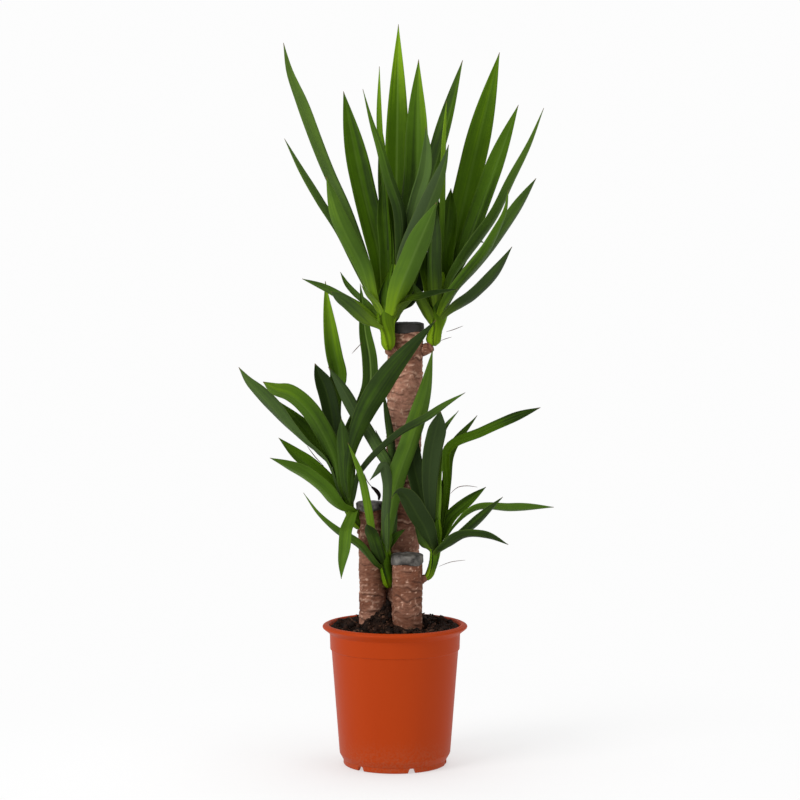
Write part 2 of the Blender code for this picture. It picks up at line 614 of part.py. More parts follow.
def make_cane(name, cane, extra=0.0, plain=False):
    """Cut cane with rough ringed bark and the short stubs that its shoots grow from."""
    draw = random.Random(sum(map(ord, name)))
    rings = 2 * cane.rings + 1
    axis = straight_path(cane.axis, rings)
    depths = [[draw.uniform(0.0, BARK_ROUGHNESS) for _ in range(CANE_SIDES)] for _ in range(rings)]

    def wobble(k, j):
        if plain:
            return 0.0
        groove = BARK_GROOVE if k % 2 else 0.0
        return groove + depths[k][j]

    radius = cane.radius + extra
    body = tube(f"cane_{name}", axis, [radius] * rings, CANE_SIDES, "bark", wobble, level=True)
    stubs = []
    for k, stub in enumerate(cane.stubs):
        path = np.linspace(stub.start, stub.end, 3)
        if extra:
            path[-1] += extra * (path[-1] - path[-2]) / np.linalg.norm(path[-1] - path[-2])
        sizes = np.linspace(stub.start_radius, stub.end_radius, 3) + extra
        stubs.append(tube(f"stub_{name}_{k}", path, sizes, STUB_SIDES, "bark"))
    return combine(body, stubs, "UNION")


def make_wax(name, cane):
    """Wax cap dipped over the sawn end of a cane: a cup that clears the bark."""
    end = np.array(cane.axis[-1], dtype=float)
    tilt = end - np.array(cane.axis[-2], dtype=float)
    tilt /= np.linalg.norm(tilt)
    inner = cane.radius + CLEARANCE
    outer = inner + WAX_WALL
    profile = [
        (0, CLEARANCE), (inner, CLEARANCE), (inner, -WAX_SKIRT), (outer - 0.3, -WAX_SKIRT),
        (outer, -WAX_SKIRT + 1.0), (outer, WAX_TOP - 2.2), (outer - 1.4, WAX_TOP - 0.8),
        (outer * 0.6, WAX_TOP), (0, WAX_TOP - 0.4),
    ]
    wax = turned(f"wax_{name}", profile, CANE_SIDES, "wax")
    for vertex in wax.data.vertices:
        x, y, z = vertex.co
        vertex.co = (x + end[0] * MM + tilt[0] * z, y + end[1] * MM + tilt[1] * z, z * tilt[2] + end[2] * MM)
    return wax


def blade_width(leaf, share):
    """Width along a leaf: a narrow clasping base that swells, then a taper to the tip."""
    swell = np.clip(share / leaf.widest, 0.0, 1.0)
    swell = swell * swell * (3 - 2 * swell)
    taper = np.sin(math.pi / 2 * np.clip((1 - share) / leaf.taper, 0.0, 1.0))
    return leaf.width * (leaf.base + (1 - leaf.base) * swell) * taper


def seat_on_core(core, target):
    """Where a leaf leaves its shoot: steep leaves sit high on the core, spreading ones low."""
    core = np.array(core, dtype=float)
    middle = core[len(core) // 2, :3]
    toward = np.array(target, dtype=float) - middle
    lean = math.atan2(math.hypot(toward[0], toward[1]), toward[2])
    share = 0.3 + 0.34 * max(0.0, 1.0 - lean / (math.pi / 2))
    place = share * (len(core) - 1)
    low = int(place)
    here = core[low] + (place - low) * (core[low + 1] - core[low])
    outward = np.array([toward[0], toward[1], 0.0])
    outward /= np.linalg.norm(outward) + 1e-9
    clasp = here[:3] + outward * min(here[3], CLASP_RADIUS) + np.array([0.0, 0.0, CLASP_RISE])
    return here[:3], clasp, outward


def rows_dot(a, b):
    return np.sum(a * b, axis=1)[:, None]


def unit_rows(rows):
    return rows / np.linalg.norm(rows, axis=1)[:, None]


def leaf_frames(path, outward, turn, twist):
    """Tangent, side and face direction at each station of a leaf.

    The face starts square to the shoot and rolls, over the first part of the leaf, until it
    stands at the given turn to the viewer.
    """
    tangent = unit_rows(np.gradient(path, axis=0))
    upward = np.array([0.0, 0.0, 1.0]) - 0.6 * outward
    natural = np.empty_like(tangent)
    for k, along in enumerate(tangent):
        upward = upward - (upward @ along) * along
        upward /= np.linalg.norm(upward)
        natural[k] = upward
    viewer = np.array([0.0, -1.0, 0.0])
    facing = unit_rows(viewer - rows_dot(tangent, viewer[None, :]) * tangent)
    middle = len(path) // 2
    across = np.cross(natural[middle], facing[middle])
    roll = math.atan2(float(across @ tangent[middle]), float(natural[middle] @ facing[middle]))
    if abs(roll) > math.pi / 2:
        roll -= math.copysign(math.pi, roll)
    share = np.linspace(0.0, 1.0, len(path))
    turned_by = np.radians(turn + twist * (1 - share))
    roll = math.copysign(1.0, roll) * (abs(roll) - turned_by)
    ease = np.clip(share / ROLL_SHARE, 0.0, 1.0)
    angle = (roll * ease * ease * (3 - 2 * ease))[:, None]
    face = natural * np.cos(angle) + np.cross(tangent, natural) * np.sin(angle)
    side = np.cross(tangent, face)
    return side, face


def make_leaf(name, leaf, path, outward):
    """Blade with a shallow V section of six points at each station."""
    side, face = leaf_frames(path, outward, leaf.turn, leaf.twist)
    share = np.linspace(0.0, 1.0, len(path))
    half = np.maximum(blade_width(leaf, share), TIP_WIDTH) / 2
    fold = np.radians(FOLD + FOLD_AT_FOOT * np.clip(1 - share / FOOT_SHARE, 0.0, 1.0) + FOLD_AT_TIP * share)
    rib = EDGE_THICKNESS + (RIB_THICKNESS - EDGE_THICKNESS) * (1 - share)
    points = []
    for k, centre in enumerate(path):
        spread = side[k] * half[k] * math.cos(fold[k])
        lift = face[k] * half[k] * math.sin(fold[k])
        down = face[k] * EDGE_THICKNESS
        points += [
            centre - spread + lift, centre, centre + spread + lift,
            centre + spread + lift - down, centre - face[k] * rib[k], centre - spread + lift - down,
        ]
    faces = []
    for k in range(len(path) - 1):
        low, high = 6 * k, 6 * k + 6
        for a, falls in enumerate((True, False, True, True, False, True)):
            b = (a + 1) % 6
            if falls:
                faces += [(low + a, low + b, high + b), (low + a, high + b, high + a)]
            else:
                faces += [(low + a, low + b, high + a), (low + b, high + b, high + a)]
    end = 6 * (len(path) - 1)
    faces += [(0, 5, 4), (0, 4, 1), (1, 4, 3), (1, 3, 2)]
    for a, b, c in ((0, 4, 5), (0, 1, 4), (1, 3, 4), (1, 2, 3)):
        faces.append((end + a, end + b, end + c))
    return add_mesh(name, points, faces, "leaf")


def fan_leaves(shoot_name, shoot):
    """Leaves on the far side of a shoot, spread by azimuth, lean and length from a seeded draw."""
    if shoot.fan is None:
        return []
    fan = shoot.fan
    draw = random.Random(len(shoot_name) * 7 + fan.count)
    start = np.array(shoot.core[-2][:3], dtype=float)
    leaves = []
    for k in range(fan.count):
        share = (k + 0.5) / fan.count
        azimuth = math.radians(fan.first_azimuth + (fan.last_azimuth - fan.first_azimuth) * share)
        lean = math.radians(FAN_LEANS[k] + draw.uniform(-FAN_LEAN_SPREAD, FAN_LEAN_SPREAD))
        length = draw.uniform(fan.shortest, fan.longest)
        out = np.array([math.sin(azimuth), math.cos(azimuth), 0.0])
        points = []
        for part, sag in FAN_SAGS:
            angle = lean + sag
            reach = length * part
            points.append(tuple(start + reach * (math.sin(angle) * out + np.array([0, 0, math.cos(angle)]))))
        width = draw.uniform(*FAN_WIDTHS)
        leaves.append(Leaf(f"rear_{k}", width, draw.uniform(*FAN_TURNS), points))
    return leaves


def shoot_leaf_paths(shoot_name, shoot):
    """Every leaf of a shoot with its sampled centre line and outward direction."""
    found = []
    for leaf in list(shoot.leaves) + fan_leaves(shoot_name, shoot):
        seat, clasp, outward = seat_on_core(shoot.core, leaf.path[0])
        route = [seat, clasp] + list(leaf.path)
        length = np.sum(np.linalg.norm(np.diff(np.array(route, dtype=float), axis=0), axis=1))
        count = round(length / STATION_SPACING) + 2
        path = smooth_path(route, max(FEWEST_STATIONS, min(MOST_STATIONS, count)))
        found.append((leaf, path, outward))
    return found


def make_shoot(shoot_name, shoot):
    """Leafy shoot: a short green core with its leaves fused to it, seated on its cane."""
    core = np.array(shoot.core, dtype=float)
    body = tube(f"shoot_{shoot_name}", core[:, :3], core[:, 3], CORE_SIDES, "leaf")
    blades = [
        make_leaf(f"{shoot_name}_{leaf.name}", leaf, path, outward)
        for leaf, path, outward in shoot_leaf_paths(shoot_name, shoot)
    ]
    combine(body, blades, "UNION")
    seat = make_cane(shoot.cane, CANES[shoot.cane], extra=CLEARANCE, plain=True)
    return keep_largest_body(combine(body, [seat], "DIFFERENCE"))


def main():
    clear_scene()
    make_pot()
    make_soil()
    for name, cane in CANES.items():
        make_cane(name, cane)
        make_wax(name, cane)
    for name, shoot in SHOOTS.items():
        make_shoot(name, shoot)


main()
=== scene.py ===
# %% [markdown]
# # A potted yucca
#
# The plant is three sawn lengths of trunk, called canes, set in a round nursery pot. Leafy shoots have
# broken out of the canes near their tops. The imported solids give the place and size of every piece, and
# this script dresses them: finer leaves, cracked bark, sealed cane tops, crumbly soil and a moulded pot.

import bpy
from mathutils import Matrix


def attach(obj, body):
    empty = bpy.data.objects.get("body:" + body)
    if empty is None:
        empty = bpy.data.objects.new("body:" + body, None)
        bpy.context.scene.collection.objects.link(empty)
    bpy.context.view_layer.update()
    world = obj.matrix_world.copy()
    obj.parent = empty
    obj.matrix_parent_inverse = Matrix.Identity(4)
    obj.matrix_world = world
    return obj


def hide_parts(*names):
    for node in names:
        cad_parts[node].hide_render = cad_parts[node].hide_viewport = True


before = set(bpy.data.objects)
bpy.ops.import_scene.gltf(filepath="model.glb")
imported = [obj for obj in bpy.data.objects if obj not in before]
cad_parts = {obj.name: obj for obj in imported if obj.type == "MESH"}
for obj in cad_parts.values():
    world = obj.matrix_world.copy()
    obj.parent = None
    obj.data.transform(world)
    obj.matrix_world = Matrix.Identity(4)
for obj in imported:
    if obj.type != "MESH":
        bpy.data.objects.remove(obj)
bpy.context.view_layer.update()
print("nodes:", ", ".join(sorted(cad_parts)))

# %% Tools from Python and Blender
import math
import random
from collections import namedtuple

import bpy
import numpy as np

MM = 0.001
ROOT = "root"
print("tables below are in millimetres; meshes are in metres, so one unit is", MM, "m")

# %% [markdown]
# ## Meshes from arrays
#
# Every piece here is a grid of points bent into a closed skin: rows run along the piece and columns run
# round it. Blender could build such skins with curves and modifiers, but an array of points is exact,
# quick, and easy to change. The last column joins the first, and the two ends are closed with one face.

# %% Grids of points into meshes
Skin = namedtuple("Skin", "points faces layers")


def closed_skin(grid, **layers):
    """Skin of a tube. Point (row, column) has the number row * columns + column, and each quad joins
    two neighbouring columns of two neighbouring rows. One face closes each end."""
    rows, columns = grid.shape[:2]
    row = np.arange(rows - 1)[:, None] * columns
    column = np.arange(columns)[None, :]
    after = (column + 1) % columns
    quads = np.stack([row + column, row + after, row + columns + after, row + columns + column], axis=-1)
    start = tuple(reversed(range(columns)))
    end = tuple(range((rows - 1) * columns, rows * columns))
    faces = quads.reshape(-1, 4).tolist() + [start, end]
    flat = {name: np.broadcast_to(values, (rows, columns)).ravel() for name, values in layers.items()}
    return Skin(grid.reshape(-1, 3), faces, flat)


def joined(skins):
    """One skin from many: points are stacked, and the numbers in the faces move up by what is below."""
    faces = []
    first = 0
    for skin in skins:
        faces += [tuple(k + first for k in face) for face in skin.faces]
        first += len(skin.points)
    layers = {name: np.concatenate([skin.layers[name] for skin in skins]) for name in skins[0].layers}
    return Skin(np.concatenate([skin.points for skin in skins]), faces, layers)


def walked(points):
    """Distance along a line from its first point to each of its points."""
    return np.concatenate([[0.0], np.cumsum(np.linalg.norm(np.diff(points, axis=0), axis=1))])


def turn_angles(count):
    """Angles spread evenly over one turn."""
    return np.linspace(0.0, math.tau, count, endpoint=False)


def ring_grid(axis, side, other, angle, radius):
    """Rings round an axis: each point is axis + (side * cos(angle) + other * sin(angle)) * radius."""
    spoke = side[:, None, :] * np.cos(angle)[..., None] + other[:, None, :] * np.sin(angle)[..., None]
    return axis[:, None, :] + spoke * radius[..., None]


def add_piece(name, skin, material, stands_for=()):
    """Object in metres from a skin in millimetres, with one number at each point for every layer."""
    mesh = bpy.data.meshes.new(name)
    mesh.from_pydata(skin.points * MM, [], skin.faces)
    for label, values in skin.layers.items():
        layer = mesh.attributes.new(label, "FLOAT", "POINT")
        layer.data.foreach_set("value", values.astype(np.float32))
    mesh.shade_smooth()
    mesh.materials.append(material)
    piece = bpy.data.objects.new(name, mesh)
    bpy.context.scene.collection.objects.link(piece)
    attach(piece, ROOT)
    if stands_for:
        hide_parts(*stands_for)
    print(f"{name}: {len(mesh.polygons)} faces")
    return piece


# %% Smooth random relief
def relief(around, along, cells_around, cells_along, seed):
    """Random heights from 0 to 1 on a lattice, blended between its points with 3t^2 - 2t^3. The
    lattice repeats once round, so there is no seam. Both coordinates run from 0 to 1."""
    heights = np.random.default_rng(seed).random((cells_along + 2, cells_around))
    x, y = around * cells_around, along * cells_along
    i, j = np.floor(x).astype(int), np.floor(y).astype(int)
    s, t = x - i, y - j
    s, t = s * s * (3 - 2 * s), t * t * (3 - 2 * t)
    i, after = i % cells_around, (i + 1) % cells_around
    j, above = j % (cells_along + 2), (j + 1) % (cells_along + 2)
    low = heights[j, i] * (1 - s) + heights[j, after] * s
    high = heights[above, i] * (1 - s) + heights[above, after] * s
    return low * (1 - t) + high * t


def smooth_step(values, low, high):
    """0 below low, 1 above high, and 3t^2 - 2t^3 between them."""
    t = np.clip((values - low) / (high - low), 0.0, 1.0)
    return t * t * (3 - 2 * t)


# %% [markdown]
# ## Shader helpers
#
# Materials are node trees. These helpers place one node each and wire it, so that a material reads from
# top to bottom like a recipe. Two effects that several finishes share are node groups: an uneven tone,
# which is a soft cloud of light and dark, and a fine relief, which is a height for the Bump node.

# %% Node helpers
def feed(tree, socket, value):
    """Links a socket to another one, or sets it to a number, a vector or a colour."""
    if isinstance(value, bpy.types.NodeSocket):
        tree.links.new(value, socket)
    elif socket.type == "RGBA":
        socket.default_value = (*value, 1.0)
    else:
        socket.default_value = value


def mixed(tree, share, first, second, blend="MIX"):
    node = tree.nodes.new("ShaderNodeMix")
    node.data_type = "RGBA"
    node.blend_type = blend
    feed(tree, node.inputs[0], share)
    feed(tree, node.inputs[6], first)
    feed(tree, node.inputs[7], second)
    return node.outputs[2]


def sums(tree, operation, first, second=0.0, third=0.0):
    node = tree.nodes.new("ShaderNodeMath")
    node.operation = operation
    for socket, value in zip(node.inputs, (first, second, third)):
        feed(tree, socket, value)
    return node.outputs[0]


def spread(tree, value, low, high, to_low=0.0, to_high=1.0):
    """Stretches values between low and high over a new range, with soft ends."""
    node = tree.nodes.new("ShaderNodeMapRange")
    node.interpolation_type = "SMOOTHSTEP"
    for name, part in (("Value", value), ("From Min", low), ("From Max", high),
                       ("To Min", to_low), ("To Max", to_high)):
        feed(tree, node.inputs[name], part)
    return node.outputs["Result"]


def tinted(tree, colour, mask, share, tint):
    """Colour drawn towards a tint by mask * share."""
    return mixed(tree, sums(tree, "MULTIPLY", mask, share), colour, tint)


def layer_value(tree, name):
    """Number that a mesh carries at its points."""
    node = tree.nodes.new("ShaderNodeAttribute")
    node.attribute_name = name
    return node.outputs["Fac"]


def stretched(tree, vector, scale):
    node = tree.nodes.new("ShaderNodeMapping")
    feed(tree, node.inputs["Vector"], vector)
    feed(tree, node.inputs["Scale"], scale)
    return node.outputs["Vector"]


def cloud(tree, vector, scale, detail=3.0, roughness=0.55):
    node = tree.nodes.new("ShaderNodeTexNoise")
    feed(tree, node.inputs["Vector"], vector)
    feed(tree, node.inputs["Scale"], scale)
    feed(tree, node.inputs["Detail"], detail)
    feed(tree, node.inputs["Roughness"], roughness)
    return node.outputs["Fac"]


def object_place(tree):
    return tree.nodes.new("ShaderNodeTexCoord").outputs["Object"]


# %% Shared effects as node groups
def new_group(name, inputs, output):
    """Empty shader group. Inputs are (name, type, value)."""
    group = bpy.data.node_groups.new(name, "ShaderNodeTree")
    for label, kind, value in inputs:
        socket = group.interface.new_socket(label, in_out="INPUT", socket_type=kind)
        if value is not None:
            socket.default_value = value
    group.interface.new_socket(output, in_out="OUTPUT", socket_type="NodeSocketFloat")
    return group, group.nodes.new("NodeGroupInput"), group.nodes.new("NodeGroupOutput")


def make_uneven_tone():
    """Mask = noise stretched about its middle: (noise - 1/2) * contrast + 1/2, kept in 0 to 1."""
    group, given, result = new_group("uneven_tone", (
        ("Vector", "NodeSocketVector", None), ("Scale", "NodeSocketFloat", 40.0),
        ("Contrast", "NodeSocketFloat", 2.0)), "Mask")
    noise = cloud(group, given.outputs["Vector"], given.outputs["Scale"], 4.0)
    centred = sums(group, "SUBTRACT", noise, 0.5)
    widened = sums(group, "MULTIPLY_ADD", centred, given.outputs["Contrast"], 0.5)
    group.links.new(sums(group, "MAXIMUM", sums(group, "MINIMUM", widened, 1.0), 0.0), result.inputs[0])
    return group


def make_fine_relief():
    """Height = coarse noise + half as much noise at three times the scale."""
    group, given, result = new_group("fine_relief", (
        ("Vector", "NodeSocketVector", None), ("Scale", "NodeSocketFloat", 200.0)), "Height")
    coarse = cloud(group, given.outputs["Vector"], given.outputs["Scale"], 2.0)
    fine_scale = sums(group, "MULTIPLY", given.outputs["Scale"], 3.0)
    fine = cloud(group, given.outputs["Vector"], fine_scale, 2.0)
    group.links.new(sums(group, "MULTIPLY_ADD", fine, 0.5, coarse), result.inputs[0])
    return group


UNEVEN_TONE = make_uneven_tone()
FINE_RELIEF = make_fine_relief()


def placed_group(tree, group, **values):
    node = tree.nodes.new("ShaderNodeGroup")
    node.node_tree = group
    for name, value in values.items():
        feed(tree, node.inputs[name], value)
    return node.outputs[0]


def uneven(tree, place, scale, contrast):
    return placed_group(tree, UNEVEN_TONE, Vector=place, Scale=scale, Contrast=contrast)


def fine_relief(tree, place, scale):
    return placed_group(tree, FINE_RELIEF, Vector=place, Scale=scale)


def new_material(name):
    """Material with its node tree and its Principled shader."""
    material = bpy.data.materials.new(name)
    material.use_nodes = True
    return material, material.node_tree, material.node_tree.nodes["Principled BSDF"]


def finish_surface(tree, shader, colour, roughness, specular, height, distance, strength):
    """Wires what every material ends with: colour, roughness, specular level, and a bump, which is a
    small relief in metres that is seen only in the way that the surface takes light."""
    feed(tree, shader.inputs["Base Color"], colour)
    feed(tree, shader.inputs["Roughness"], roughness)
    shader.inputs["Specular IOR Level"].default_value = specular
    bump = tree.nodes.new("ShaderNodeBump")
    feed(tree, bump.inputs["Height"], height)
    bump.inputs["Distance"].default_value = distance
    bump.inputs["Strength"].default_value = strength
    tree.links.new(bump.outputs["Normal"], shader.inputs["Normal"])


print("groups:", UNEVEN_TONE.name, FINE_RELIEF.name)

# %% [markdown]
# ## Leaves
#
# A yucca leaf is a stiff sword: a narrow sheath at the foot that clasps the shoot, a long blade with a
# shallow fold along its middle, and a sharp tip. It could be a plane bent along a curve. Here each blade
# is a closed skin instead, swept along a smooth path, so it has a real edge and an underside.
# Every leaf keeps the path, width and turn of its solid.

# %% What a leaf and a shoot are
# A leaf has a name, its greatest width, the turn of its face to the viewer in degrees, and a path from
# the core to its tip. Then come the share of its length that tapers to the tip, how wide it starts,
# where it is widest, and how far it twists. A shoot has a core whose points carry a radius, its leaves,
# and the fan of leaves behind it.
Leaf = namedtuple("Leaf", "name width turn path taper base widest twist", defaults=(0.38, 0.5, 0.42, 0))
Fan = namedtuple("Fan", "count first_azimuth last_azimuth shortest longest")
Shoot = namedtuple("Shoot", "core leaves fan")
FAN_LEANS = (48, 64, 54, 44, 58)
FAN_LEAN_SPREAD = 4.0
FAN_WIDTHS = (21.0, 26.0)
FAN_TURNS = (30.0, 60.0)
FAN_SAGS = ((0.3, -0.10), (0.65, 0.0), (1.0, 0.22))
CLASP_RISE = 9.0
CLASP_RADIUS = 7.0
LOW_SEAT = 0.3
SEAT_RISE = 0.34
LEAN_BACK = 0.6
ROLL_SHARE = 0.45

SHOOTS = {}


def add_shoot(name, core, leaves, fan):
    SHOOTS[name] = Shoot(core, leaves, fan)
    print(f"{name}: {len(leaves)} leaves with a place of their own")


print("leaves behind a shoot lean by, degrees:", FAN_LEANS)

# %% Upper left head
# The highest head, on the left stub of the tall cane.
add_shoot("upper_left", [
    (-8, 2, 485, 3.5), (-8, 2, 490, 6.8), (-8, 2, 497, 8.2), (-8.5, 1.5, 506, 8.6), (-10, 0, 518, 10.5),
    (-7, 5, 536, 14), (-2, 10, 560, 12), (1, 12, 584, 5),
], [
    Leaf("long_left", 23, 50, [
        (-44, 36, 605), (-62.8, 42, 653), (-82.9, 62, 697), (-113.9, 85, 777.5), (-128.4, 94, 818),
        (-134.2, 100, 852),
    ], 0.26),
    Leaf("far_left", 21, 64, [
        (-52, 30, 591), (-67.2, 32, 621), (-90.9, 41, 657.4), (-112.4, 45, 694.7), (-130.5, 48, 733.5),
    ], 0.3),
    Leaf("broad_left", 22, 15, [
        (-39.5, -12, 586), (-54.2, -32, 614.5), (-65.3, -50, 640), (-72.7, -66, 665.7),
        (-77.2, -75, 682.5),
    ], 0.36),
    Leaf("dark_left", 30, 12, [
        (-20, 34, 600), (-36, 44, 666), (-53.5, 61, 748), (-61.5, 72, 791.5),
    ], 0.36),
    Leaf("crossing", 19, 30, [
        (8, -4, 601), (6.5, -6, 646), (-6, -3, 684.5), (-17, 4, 722), (-25.2, 9, 745.5),
        (-37.5, 14, 788.5),
    ], 0.65),
    Leaf("thin_bright", 11, 50, [
        (-7, 26, 602), (-11, 34, 672), (-16.5, 40, 743), (-18.5, 46, 818),
    ], 0.25),
    Leaf("tallest", 30, 0, [(-1, 40, 579), (2, 64, 709), (4, 90, 873)], 0.43),
    Leaf("second_spike", 31, 15, [
        (10, 34, 596), (24, 46, 673), (27, 51, 750), (27, 58, 785.5), (28, 66, 828.5),
    ], 0.36),
    Leaf("grey_spike", 17, 5, [
        (11, 8, 601), (26.5, 6, 665), (34.5, 7, 691), (37, 9, 717.5), (36, 12, 745),
    ], 0.25),
    Leaf("dark_right", 28.5, 50, [(18, 22, 602), (46, 30, 695), (64.7, 38, 762), (79.5, 42, 825)], 0.3),
    Leaf("short_right", 24, 15, [
        (16, -8, 599), (43.2, -15, 663), (52.2, -19, 687), (57.6, -22, 704), (61.8, -24, 721.5),
    ], 0.4),
    Leaf("front", 29, 10, [(2, -20, 546), (20, -42, 591), (47, -82, 653)]),
    Leaf("inner_right", 20, 20, [(12, 30, 552), (22, 46, 580), (28, 62, 616)]),
    Leaf("low_thin", 19, 58, [
        (-36, 3, 530), (-47.5, 1, 536), (-60.5, -1, 543.2), (-79, -4, 553.8), (-107.5, -8, 568),
    ]),
    Leaf("low_front", 16, 15, [(-28, -14, 515.5), (-54.5, -42, 539), (-72, -70, 553)], 0.3),
    Leaf("low_back", 14, 55, [
        (-27, 38, 529), (-37.5, 46, 540), (-47.5, 56, 548.5), (-58, 66, 561), (-65.5, 76, 576.5),
    ], 0.35),
    Leaf("low_small", 9, 40, [(-20, -9, 536), (-26.5, -12, 543.5), (-33, -16, 551.5), (-38.5, -18, 560)]),
    Leaf("low_right", 15, 60, [(8, -10, 539), (34, -28, 547), (72, -42, 556)]),
    Leaf("low_behind", 26, 10, [(2, 24, 544), (22, 42, 559), (37, 58, 590)], 0.3),
    Leaf("low_cross", 13, 20, [(3, -3, 530), (15, -9, 543), (29, -15, 549)]),
    Leaf("low_short", 16, 12, [(3, 20, 534), (15, 30, 540), (28, 38, 549)], 0.3, 0.5, 0.3),
    Leaf("rear_left", 19, 10, [(-9, 26, 598), (-13, 36, 640), (-16, 44, 682)], 0.35),
    Leaf("rear_thin", 17, 10, [(-6, 40, 590), (-11, 66, 660), (-15, 88, 720), (-18, 96, 762)]),
], Fan(5, -12, 10, 170, 215))

# %% Upper right head
# Its neighbour, on the right stub of the tall cane.
add_shoot("upper_right", [
    (44, 20, 489.5, 3.5), (44.5, 20, 494, 7.4), (46, 20, 501, 8.2), (48.5, 19, 509, 7.6),
    (50, 18, 519, 10), (51, 17, 536, 12), (52, 17, 556, 9.5), (53, 17, 576, 4),
], [
    Leaf("folded", 25, 45, [(44, 4, 561), (43, 0, 607), (47, 2, 655)]),
    Leaf("edge_on", 17, 70, [
        (53, 16, 578), (56.5, 14, 622.5), (57.6, 12, 654), (58.2, 10, 694.5), (59, 9, 735),
        (59.8, 8, 774),
    ], 0.3),
    Leaf("big", 32.5, 10, [(65.5, 42, 588), (87.8, 66, 683), (125.8, 104, 841)], 0.39),
    Leaf("second_big", 25.5, 30, [(74, 24, 576), (106, 34, 665), (145.5, 46, 773)], 0.33),
    Leaf("long_thin", 21, 68, [
        (65, 8, 565.5), (81, 8, 591.7), (97.5, 6, 614), (115.5, 4, 638.7), (135.8, 2, 679.5),
        (156.8, -2, 722.3), (172, -4, 765),
    ], 0.38, 0.5, 0.42, -33),
    Leaf("outer_dark", 23, 50, [
        (75, -9, 561.2), (90.6, -12, 578.8), (108.1, -16, 599.8), (125.6, -21, 623.8),
        (144.4, -26, 652.5), (161.8, -30, 682.8),
    ], 0.25),
    Leaf("light", 19, 50, [
        (64, -16, 548), (85.5, -26, 574.3), (102.3, -38, 595.5), (116, -48, 621), (125.5, -58, 644),
        (128.5, -62, 668),
    ], 0.5),
    Leaf("low_outer", 18.5, 40, [
        (70, -8, 533.4), (89.3, -26, 547.3), (106.8, -36, 564.2), (121, -50, 583.6), (133, -58, 604),
    ], 0.4),
    Leaf("low_inner", 14, 10, [(40, 8, 524), (31, 2, 541), (21, -4, 563)]),
    Leaf("inner_left", 22, 20, [(42, 20, 556), (37, 26, 580), (35, 30, 604)]),
    Leaf("rear_top", 28, 10, [
        (56, 28, 590), (61, 34, 625), (64.5, 40, 652), (66, 44, 675),
    ], 0.35, 0.5, 0.25),
    Leaf("rear_middle", 16, 10, [(48, 32, 590), (49.5, 34, 630), (50, 36, 668)], 0.35),
], Fan(5, 6, 24, 150, 185))

# %% Left shoot
# The bent, wide leaves of the left cane.
add_shoot("left", [
    (-41, 10, 277, 4.5), (-44, 9, 281, 6), (-50, 8, 290, 6), (-55.5, 8, 304, 6.5), (-59, 8, 322, 5),
    (-61.5, 8, 338, 2),
], [
    Leaf("widest", 28, 12, [
        (-83, 5, 359), (-104.6, 2, 377), (-123.2, -4, 396), (-141.2, -12, 418), (-159.4, -18, 438.8),
        (-168.2, -22, 448.4), (-180, -26, 466),
    ], 0.36, 0.1, 1.0, 82),
    Leaf("bent", 25, 20, [
        (-71, 0, 360), (-85, -10, 391), (-101.5, -20, 417), (-113, -26, 428.5), (-122.5, -29, 434.7),
        (-135, -34, 438.6), (-151, -44, 450),
    ], 0.18),
    Leaf("under_bent", 23, 28, [
        (-70, 12, 350), (-88, 14, 371), (-113.5, 16, 401), (-135, 18, 423.5),
    ], 0.45, 0.13, 0.6),
    Leaf("dark_upright", 23, 5, [
        (-62, 24, 330), (-72, 38, 389.5), (-79, 52, 424), (-85.2, 60, 443), (-90.8, 63, 454.5),
        (-96, 66, 467.5),
    ], 0.18),
    Leaf("short_dark", 19, 10, [(-55, -4, 324), (-59, -14, 369), (-62, -24, 407)], 0.3),
    Leaf("outer_dark", 24, 45, [
        (-70, 20, 317), (-97.3, 30, 343.5), (-118.8, 36, 360.5), (-138, 40, 380),
    ]),
    Leaf("outer_bright", 26, 45, [
        (-61, 0, 298.5), (-84, -10, 323.5), (-105, -17, 340.3), (-123.4, -26, 350.8), (-144, -30, 361.5),
    ], 0.35),
    Leaf("bright_upright", 22, 10, [
        (-57, 24, 343), (-74, 56, 395), (-73.5, 70, 425), (-67, 72, 455), (-71.5, 68, 475.5),
        (-77.5, 62, 514.8), (-81, 60, 543), (-83, 58, 565.6),
    ], 0.33),
    Leaf("pale_rib", 20, 10, [
        (-53, 17, 344), (-52, 18, 385), (-40, 23, 412), (-29.5, 27, 442), (-29.5, 28, 475),
        (-34.8, 28, 505.5), (-37.8, 27, 537.5), (-41, 26, 562.5),
    ]),
    Leaf("long_front", 29, 8, [
        (-55, -12, 345), (-50, -16, 374), (-38.5, -22, 405), (-9, -38, 455), (47, -54, 521),
    ], 0.45, 0.13, 0.62),
    Leaf("hanging", 15.5, 10, [
        (-54, -22, 282), (-56.3, -38, 276), (-57.7, -48, 258), (-60.2, -51, 242.5), (-61.5, -52, 224),
    ], 0.38, 0.8),
    Leaf("thin_crossing", 14, 45, [
        (-43, -6, 336), (-36.5, -20, 348.5), (-23, -30, 365), (9, -34, 392), (40.8, -34, 409.5),
        (57.5, -32, 421.5), (81, -30, 437),
    ], 0.25, 0.5, 0.75),
], Fan(3, -14, 4, 110, 140))

